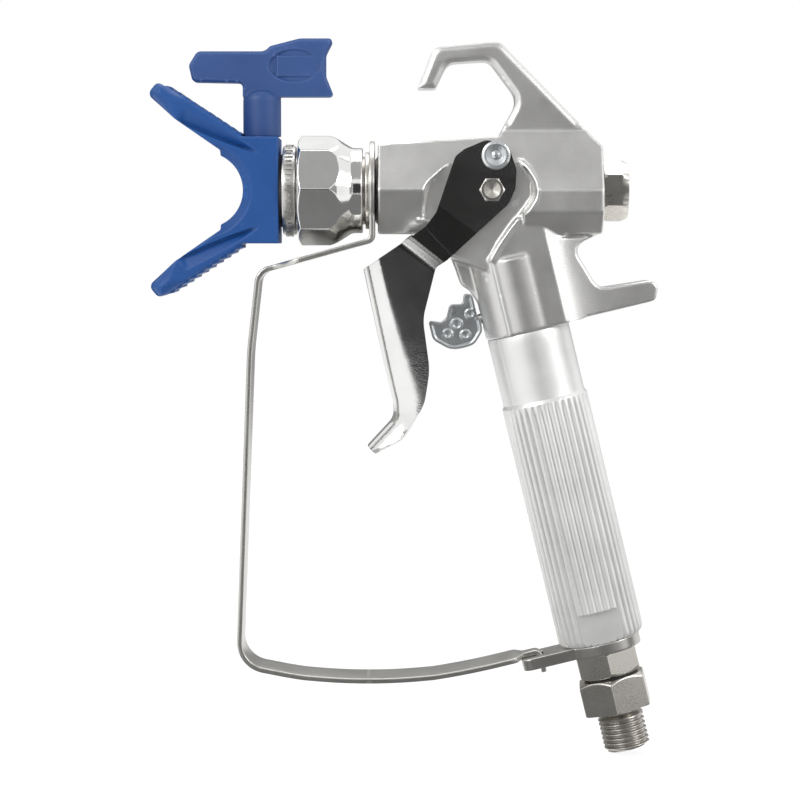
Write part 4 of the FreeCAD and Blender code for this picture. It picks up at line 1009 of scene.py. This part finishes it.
faded = add(flutes, "ShaderNodeMapRange", {
    "Value": number("SUBTRACT", reached, given["Start"]), "From Min": 0.0,
    "From Max": given["Fade"]}, interpolation_type="SMOOTHSTEP").outputs[0]
press = number("MULTIPLY", number("MULTIPLY", valley, faded), given["Depth"])
is_outside = number("GREATER_THAN", vector("LENGTH", radial, output="Value"), BORE_SIDE)
push = number("MULTIPLY", number("MULTIPLY", press, is_outside), -1.0)
pressed = vector("ADD", here, vector("SCALE", outward, Scale=push))
fluted_at = add(flutes, "ShaderNodeSeparateXYZ", {0: pressed}).outputs
above_flat = number("SUBTRACT", ANYWHERE, number("GREATER_THAN", reached, given["Flat Start"]))
held_half = number("ADD", given["Flat Half"], above_flat)
held_y = number("MINIMUM", number("MAXIMUM", fluted_at["Y"], number("MULTIPLY", held_half, -1.0)),
                held_half)
new_place = add(flutes, "ShaderNodeCombineXYZ", {
    "X": fluted_at["X"], "Y": held_y, "Z": fluted_at["Z"]})
moved = add(flutes, "GeometryNodeSetPosition", {
    "Geometry": given["Geometry"], "Position": new_place.outputs[0]})
close_recipe(flutes, given, moved.outputs[0])

# %% Fluted grip
low, high = span("handle_tube", GRIP)
grip_top, grip_foot = -high[2], -low[2]
COLLAR_START, COLLAR_END, GRIP_R, COLLAR_R = 41.9, 61.9, 12.7, 12.1
BORE_R, SHANK_R = 8.5, 9.0
FLAT_START, STEP = grip_foot - 9.7, 0.02
outline = soften([
    (grip_top, BORE_R), (grip_top, SHANK_R), (COLLAR_START, SHANK_R), (COLLAR_START, COLLAR_R, 0.4),
    (COLLAR_END, COLLAR_R, 0.3), (COLLAR_END + 1.0, GRIP_R, 0.8), (COLLAR_END + 3.4, GRIP_R),
    (FLAT_START - STEP, GRIP_R), (FLAT_START + STEP, GRIP_R), (grip_foot, GRIP_R, 2.2),
    (grip_foot, BORE_R)], fine=0.3)
FLUTE_COUNT = 36
grip = turned("fluted_grip", divide(outline, 3.0), GRIP, down=True, sides=FLUTE_COUNT * 12)
side = GRIP.to_3x3() @ Vector((1, 0, 0))
follow(grip, flutes, flute_keys, {
    "Count": float(FLUTE_COUNT), "Depth": 0.75 * MM, "Axis Point": crossing,
    "Axis": Vector(hose["axis"]), "Side": side.normalized(), "Start": (COLLAR_END + 0.7) * MM,
    "Fade": 1.6 * MM, "Flat Start": FLAT_START * MM, "Flat Half": 11.0 * MM,
    "Material": materials["grip_aluminium"]})
dress(grip, "gun", "grip_aluminium", "handle_tube")

# %% [markdown]
# ## Bracket, inlet fitting and swivel
# The bracket is a forged plate, so it is remeshed like the body. The fitting and the swivel are
# turned hexagons; the stud's thread is a true helix, cut by the same hold that makes the flats.

# %% Bracket
bracket = remesh(cad_copy("forged_bracket", "guard_bracket", GRIP), 0.24, 4)
place_mesh(bracket, GRIP)
dress(bracket, "gun", "plated_steel", "guard_bracket")

# %% Inlet fitting
fitting_end = -span("inlet_fitting", GRIP)[0][2]
FITTING_TURN, FITTING_FLATS, FITTING_R = math.radians(29), 17.5, 10.3
profile = soften([
    (plate_end - 3, 4.0), (plate_end - 3, 8.0), (plate_end, 8.0), (plate_end, 9.4),
    (plate_end + 0.4, FITTING_R), (fitting_end - 1.2, FITTING_R), (fitting_end, 8.9, 0.3),
    (fitting_end, 5.1), (fitting_end - 5.6, 5.1), (fitting_end - 5.6, 4.0)], 0.1)
fitting = turned("inlet_hexagon", divide(profile, 0.5), GRIP, down=True, sides=192,
                 first=FITTING_TURN, hold=polygon_hold(6, FITTING_FLATS, FITTING_TURN, 0.3))
dress(fitting, "gun", "stainless", "inlet_fitting")

# %% Swivel with its hose thread
stud_end = -span("swivel_stud", GRIP)[0][2]
thread_top = stud_end - hose["dims"]["length_mm"]
THREAD_R = hose["dims"]["r_mm"]
hex_end = thread_top - 2.2
hex_top = hex_end - 10.0
PITCH, THREAD_DEPTH, RUN_IN = 1.41, 0.8, 0.5
CREST, FLANK = 0.12, 0.72
SPACING, END_CHAMFER = 0.08, 0.8
SWIVEL_TURN, SWIVEL_FLATS, SWIVEL_R = math.radians(24), 19.0, 11.2
BORE_R, NECK_R, THREAD_LEAST = 3.5, 5.3, 5.5
hexagon_hold = polygon_hold(6, SWIVEL_FLATS, SWIVEL_TURN, 0.3)


def stud_hold(turn, along, radius):
    """Six flats above, a helical thread below."""
    if along < thread_top - 0.3:
        return hexagon_hold(turn, along, radius)
    if radius < THREAD_LEAST:
        return radius
    phase = ((along - thread_top) / PITCH - turn / (2 * math.pi)) % 1.0
    flank = ease((abs(phase - 0.5) * 2 - CREST) / FLANK)
    return radius - THREAD_DEPTH * flank * min(1.0, max(0.0, (along - thread_top) / RUN_IN))


rows = int((stud_end - thread_top - END_CHAMFER) / SPACING)
thread = [Vector((thread_top + SPACING * k, THREAD_R)) for k in range(rows)]
above = soften([
    (hex_top - 5.0, BORE_R), (hex_top - 5.0, 5.0), (hex_top, 5.0), (hex_top, 9.4, 0.3),
    (hex_top + 1.3, SWIVEL_R), (hex_end - 0.4, SWIVEL_R), (hex_end, 10.6, 0.2),
    (hex_end, NECK_R, 0.4), (thread_top - 0.1, NECK_R, 0.3)], 0.1)
below = soften([(stud_end - END_CHAMFER, THREAD_R), (stud_end, 5.9, 0.2), (stud_end, BORE_R, 0.3)])
stud = turned("swivel_with_thread", divide(above + thread + below, 0.6), GRIP, down=True, sides=192,
              first=SWIVEL_TURN, hold=stud_hold, crease=50)
dress(stud, "swivel", "stainless", "swivel_stud")

# %% [markdown]
# ## Guard ring with its raised marks
# The metal ring between the nut and the plastic guard is textured with short raised bars. Geometry
# Nodes put one small block at each point of a circle, turn it to stand out from the ring and vary
# its length with a fixed seed.

# %% Tree for a ring of raised bars
bars, bar_keys, given = new_recipe("ring_of_bars", {
    "Count": "Int", "Radius": "Float", "Centre": "Vector", "Length": "Float", "Width": "Float",
    "Height": "Float", "Seed": "Int", "Material": "Material"})
circle = add(bars, "GeometryNodeMeshCircle", {"Vertices": given["Count"], "Radius": given["Radius"]})
upright = add(bars, "GeometryNodeTransform", {
    "Geometry": circle.outputs[0], "Rotation": (0.0, math.pi / 2, 0.0)})
spot = add(bars, "GeometryNodeInputPosition")
stand = add(bars, "FunctionNodeAlignRotationToVector", {"Vector": spot.outputs[0]}, axis="Z",
            pivot_axis="X")
size = add(bars, "ShaderNodeCombineXYZ", {
    "X": given["Length"], "Y": given["Width"], "Z": given["Height"]})
block = add(bars, "GeometryNodeMeshCube", {"Size": size.outputs[0]})
vary = add(bars, "FunctionNodeRandomValue", {2: 0.35, 3: 1.0, "Seed": given["Seed"]},
           data_type="FLOAT")
stretch = add(bars, "ShaderNodeCombineXYZ", {"X": vary.outputs[1], "Y": 1.0, "Z": 1.0})
many = add(bars, "GeometryNodeInstanceOnPoints", {
    "Points": upright.outputs[0], "Instance": block.outputs[0], "Rotation": stand.outputs[0],
    "Scale": stretch.outputs[0]})
moved = add(bars, "GeometryNodeTransform", {
    "Geometry": many.outputs[0], "Translation": given["Centre"]})
close_recipe(bars, given, join(bars, moved.outputs[0], given["Geometry"]))

# %% Guard ring
ring_front = span("guard_collar", BARREL)[0][0]
ring_rear = ring_front + 3.8
lip = front + 2.4
RING_R, BORE_R, SEAT_R, LIP_R, SPIGOT_R = 12.9, 4.6, 9.7, 10.8, 7.6
profile = soften([
    (ring_front, BORE_R), (ring_front, RING_R, 0.35), (ring_rear, RING_R, 0.35),
    (ring_rear, SEAT_R), (lip + 0.1, SEAT_R), (lip + 0.1, LIP_R), (lip + 1.7, LIP_R),
    (lip + 1.7, SPIGOT_R), (ring_rear - 1, SPIGOT_R), (ring_rear - 1, BORE_R)], 0.05)
collar = turned("guard_ring_textured", profile, BARREL)
follow(collar, bars, bar_keys, {
    "Count": 52, "Radius": 12.95 * MM, "Length": 2.7 * MM, "Width": 0.55 * MM, "Height": 0.7 * MM,
    "Centre": BARREL @ Vector(((ring_front + ring_rear) / 2, 0, 0)), "Seed": 4,
    "Material": materials["plated_steel"]})
dress(collar, "guard", "plated_steel", "guard_collar")

# %% [markdown]
# ## Tip guard
# The guard is one plastic moulding: a block with two wings. Each wing has a toothed outer edge, a
# tapering hollow in each side and a rounded end. The teeth come from Geometry Nodes, one small
# turned block at each point of a line; they are joined to the copy before it is remeshed, so they
# grow out of the wing as moulded teeth do. Hollows and rounded ends are carved.

# %% Tree for a row of teeth
teeth, tooth_keys, given = new_recipe("row_of_teeth", {
    "Count": "Int", "Start": "Vector", "End": "Vector", "Size": "Vector", "Lean": "Float",
    "Material": "Material"})
line = add(teeth, "GeometryNodeMeshLine", {
    "Count": given["Count"], "Start Location": given["Start"], "Offset": given["End"]},
    mode="END_POINTS")
lean = add(teeth, "ShaderNodeCombineXYZ", {"Y": given["Lean"]})
block = add(teeth, "GeometryNodeMeshCube", {"Size": given["Size"]})
row = add(teeth, "GeometryNodeInstanceOnPoints", {
    "Points": line.outputs[0], "Instance": block.outputs[0], "Rotation": lean.outputs[0]})
close_recipe(teeth, given, join(teeth, row.outputs[0], given["Geometry"]))

# %% Moulded tip guard
low, high = span("tip_guard", BARREL)
guard_rear, wing_tip, GUARD_HALF = high[0], low[0], high[1]
guard_front = guard_rear - 16.7
block_top = 15.3
WING_RISE, WING_RUN, TOOTH_LEAN = 15.8, 24.2, 0.26
slope = math.atan2(WING_RISE, WING_RUN)
guard = cad_copy("moulded_guard", "tip_guard", BARREL)
for up in (1, -1):
    follow(guard, teeth, tooth_keys, {
        "Count": 10, "Start": Vector((guard_front - 14.6, 0, up * (block_top + 13.6))),
        "End": Vector((guard_front + 5.0, 0, up * (block_top + 0.8))),
        "Size": Vector((2.2, 2 * GUARD_HALF - 2.6, 1.5)), "Lean": up * (slope - TOOTH_LEAN),
        "Material": materials["guard_plastic"]})
remesh(guard, 0.27, 3)
wing = soften([
    (guard_rear, block_top), (guard_front + 6.2, block_top),
    (wing_tip + 3.0, block_top + WING_RISE, 1.6), (wing_tip, block_top + 12.2, 1.8),
    (guard_front - 12.9, block_top + 5, 3), (guard_front, block_top - 3.9), (guard_front, 0),
    (guard_rear, 0)])
HOLLOW_START = Vector((-90.2, 21.6))
HOLLOW_END = Vector((-67.6, 10.6))
HOLLOW_DEEP, HOLLOW_HALF, HOLLOW_EDGE = 2.0, 1.9, 0.45
ROLL, ROLL_AT_TIP = 0.7, 3.0


def guard_sides(x, y, z):
    """Round the wings' ends and sink a tapering hollow into each side of each wing."""
    height = np.abs(z)
    inside = depth_inside(x, height, wing)
    from_tip = np.hypot(x - (wing_tip + 2.4), height - (block_top + 13.6))
    roll = ROLL + ROLL_AT_TIP * ease(1 - (from_tip - 3.0) / 7.0)
    gap = np.clip(roll - np.clip(inside, 0, None), 0, roll)
    held = GUARD_HALF - (roll - np.sqrt(roll * roll - gap * gap)) * (height > 9.0)
    run = HOLLOW_END - HOLLOW_START
    ahead, above = x - HOLLOW_START.x, height - HOLLOW_START.y
    t = (ahead * run.x + above * run.y) / run.length_squared
    w = (ahead * -run.y + above * run.x) / run.length
    wide = HOLLOW_HALF * np.clip(1 - np.clip(t, 0, 1) ** 2.2, 0, 1) + 0.05
    across = np.clip((wide - w) / (2 * wide), 0, 1)
    wall = ease((w + wide + HOLLOW_EDGE) / HOLLOW_EDGE)
    within = (t < 1.0) & (t > -0.08) & (w < wide)
    sunk = HOLLOW_DEEP * across * wall * ease(t / 0.10 + 0.3) * within
    held = held - sunk * ease((1.02 - t) / 0.25)
    return x, np.clip(y, -held, held), z


carve(guard, guard_sides)
smooth_and_thin(guard, 1)
place_mesh(guard, BARREL)
dress(guard, "guard", "guard_plastic", "tip_guard")

# %% [markdown]
# ## Tip handle
# The tip is turned by a flag-shaped handle on a round, domed stem. The flag carries a shallow oval
# dish with a plain raised panel in it; both are carved into its sides and left without lettering.

# %% Moulded tip handle
TIP = BARREL @ Matrix.Translation((TIP_X, 0, 0))
tip = remesh(cad_copy("moulded_tip_handle", "tip_handle", TIP), 0.22, 3)
flag = soften([
    (-21.1, 36.1, 2), (-18.6, 40.1, 2), (1.0, 40.1, 3), (2.4, 41.6, 2), (11.0, 43.8, 6),
    (21.0, 43.8, 1), (18.6, 39.0, 2), (18.6, 32.9, 2), (21.0, 27.0, 1), (-5.5, 27.0),
    (-5.5, 31.0, 1.4), (-20.0, 31.3, 1.5)])
FLAG_HALF, FLAG_Z = 2.75, 29.5
EDGE_CUT, EDGE_BAND = 0.55, 0.8
DISH_X, DISH_Z, DISH_LONG, DISH_TALL, DISH_DEEP = 9.5, 36.0, 7.9, 4.9, 0.85
PANEL_X, PANEL_Z, PANEL_LONG, PANEL_TALL = 0.9, -0.1, 6.0, 2.9


def flag_sides(x, y, z):
    """Break the flag's edges, sink the oval dish and leave a panel standing in it."""
    on_face = (np.abs(y) > 1.2) & (np.abs(y) < FLAG_HALF + 0.3) & (z > FLAG_Z)
    held = FLAG_HALF - EDGE_CUT * ease(1 - depth_inside(x, z, flag) / EDGE_BAND)
    round_dish = 1 - np.hypot((x - DISH_X) / DISH_LONG, (z - DISH_Z) / DISH_TALL)
    slant = 0.55 + 0.45 * ease((DISH_X + 2 - x) / 8)
    sunk = DISH_DEEP * ease(round_dish / 0.14) * slant
    panel = np.maximum(np.abs(x - DISH_X - PANEL_X) - PANEL_LONG,
                       np.abs(z - DISH_Z - PANEL_Z) - PANEL_TALL)
    sunk = np.where(panel < 0.3, sunk * (1 - 0.75 * ease((0.3 - panel) / 0.4)), sunk)
    limit = np.where(on_face, held - sunk, NO_LIMIT)
    return x, np.clip(y, -limit, limit), z


carve(tip, flag_sides)
place_mesh(tip, TIP)
dress(tip, "tip", "tip_plastic", "tip_handle")

# %% [markdown]
# ## CAD parts that stay
# Seals, the valve inside, the tip's barrel and the filter already have the right shape, so the CAD
# nodes stay and only get their finish.

# %% Finishes for the CAD parts that stay
for row in frame["record"]["subparts"]:
    node = nodes[row["node"]]
    for place in node.material_slots:
        place.link = "OBJECT"
        place.material = materials[row["material_slot"]]
kept = [name for name, node in nodes.items() if not node.hide_render]
print("kept CAD parts:", kept)

# %% [markdown]
# ## Stage and light
# A pale floor lies just under the gun. Rays from the camera, reflections and glass see the floor
# and the world as white; other light comes from an even world and three soft lamps. Bare metal
# needs something dark to mirror, so plain grey cards stand where a camera and the room would be.
# They are only seen in reflections.

# %% World
BRIGHT = (1.0, 1.0, 1.0, 1)


def seen_rays(tree):
    """1 for rays from the camera, reflections and glass, 0 for the light that falls on things."""
    paths = add(tree, "ShaderNodeLightPath").outputs
    seen = math_node(tree, "MAXIMUM", paths["Is Camera Ray"], paths["Is Glossy Ray"])
    return math_node(tree, "MAXIMUM", seen, paths["Is Transmission Ray"])


world = bpy.data.worlds.new("studio")
bpy.context.scene.world = world
tree = empty_tree(world)
even_light = add(tree, "ShaderNodeBackground", {"Color": BRIGHT, "Strength": 0.6})
white = add(tree, "ShaderNodeBackground", {"Color": BRIGHT, "Strength": 1.0})
either = add(tree, "ShaderNodeMixShader", {
    0: seen_rays(tree), 1: even_light.outputs[0], 2: white.outputs[0]})
add(tree, "ShaderNodeOutputWorld", {"Surface": either.outputs[0]})
bpy.context.scene.view_settings.view_transform = "Standard"
print("world ready")

# %% Floor
def sheet(name, corners, material):
    """A flat sheet of the stage."""
    mesh = bpy.data.meshes.new(name)
    mesh.from_pydata(corners, [], [(0, 1, 2, 3)])
    mesh.materials.append(material)
    made = new_object(name, mesh)
    return made


def lying(x0, x1, y0, y1, z0, z1):
    """Corners of a sheet that lies flat or slopes up along y."""
    return [(x0, y0, z0), (x1, y0, z0), (x1, y1, z1), (x0, y1, z1)]


def standing(x0, x1, y0, y1, z0, z1):
    """Corners of an upright sheet."""
    return [(x0, y0, z0), (x1, y1, z0), (x1, y1, z1), (x0, y0, z1)]


floor_material = bpy.data.materials.new("pale_floor")
tree = empty_tree(floor_material)
share = math_node(tree, "MULTIPLY", seen_rays(tree), 0.82)
matte = add(tree, "ShaderNodeBsdfDiffuse", {"Color": (0.9, 0.9, 0.9, 1)})
glow = add(tree, "ShaderNodeEmission", {"Color": BRIGHT, "Strength": 1.12})
either = add(tree, "ShaderNodeMixShader", {0: share, 1: matte.outputs[0], 2: glow.outputs[0]})
add(tree, "ShaderNodeOutputMaterial", {"Surface": either.outputs[0]})
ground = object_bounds()[0].z - 0.0005
FLOOR_HALF = 6
sheet("floor", lying(-FLOOR_HALF, FLOOR_HALF, -FLOOR_HALF, FLOOR_HALF, ground, ground),
      floor_material)
print("floor at", round(1000 * ground, 1), "mm")

# %% Cards
def card_finish(level):
    """A plain even grey that glows a little."""
    material = bpy.data.materials.new("card_%03d" % round(1000 * level))
    tree = empty_tree(material)
    grey = add(tree, "ShaderNodeEmission", {"Color": (level, level, level, 1), "Strength": 1.0})
    add(tree, "ShaderNodeOutputMaterial", {"Surface": grey.outputs[0]})
    return material


NEAR = ground + 0.002
CARDS = {
    "card_camera": (0.045, standing(-0.42, 0.30, -1.05, -1.05, -0.15, 0.52)),
    "card_table": (0.20, lying(-0.17, 0.35, -0.9, 0.03, NEAR, NEAR)),
    "card_ceiling": (0.42, lying(-0.7, 0.7, -1.0, -0.1, 0.75, 1.35)),
    "card_left": (0.06, standing(-1.3, -1.3, -0.12, 0.2, -0.1, 0.45)),
    "card_back": (0.30, standing(-0.8, 0.8, 1.1, 1.1, -0.1, 0.75)),
    "card_left_back": (0.34, standing(-1.28, -0.75, 0.21, 1.08, -0.1, 0.6)),
    "card_side": (0.35, standing(0.45, 1.0, -1.2, -0.75, -0.1, 0.6)),
    "card_right": (0.10, standing(1.2, 1.2, -0.3, 0.3, -0.1, 0.5)),
}
for name, (level, corners) in CARDS.items():
    made = sheet(name, corners, card_finish(level))
    made.visible_camera = made.visible_shadow = False
    made.visible_diffuse = made.visible_transmission = False
print("cards:", list(CARDS))

# %% Lamps
MIDDLE = Vector((-0.04, 0, 0.11))


def lamp(name, place, size, power):
    """A soft square lamp aimed at the middle of the gun."""
    data = bpy.data.lights.new(name, "AREA")
    data.size = size
    data.energy = power
    made = new_object(name, data)
    made.location = place
    made.rotation_mode = "QUATERNION"
    made.rotation_quaternion = (MIDDLE - made.location).to_track_quat("-Z", "Y")
    print(name, "of", power, "W")


lamp("lamp_left", (-0.75, -0.75, 0.75), 0.55, 4.2)
lamp("lamp_right", (0.75, -0.55, 0.55), 0.45, 2.4)
lamp("lamp_top", (-0.05, 0.25, 0.95), 0.6, 2.4)
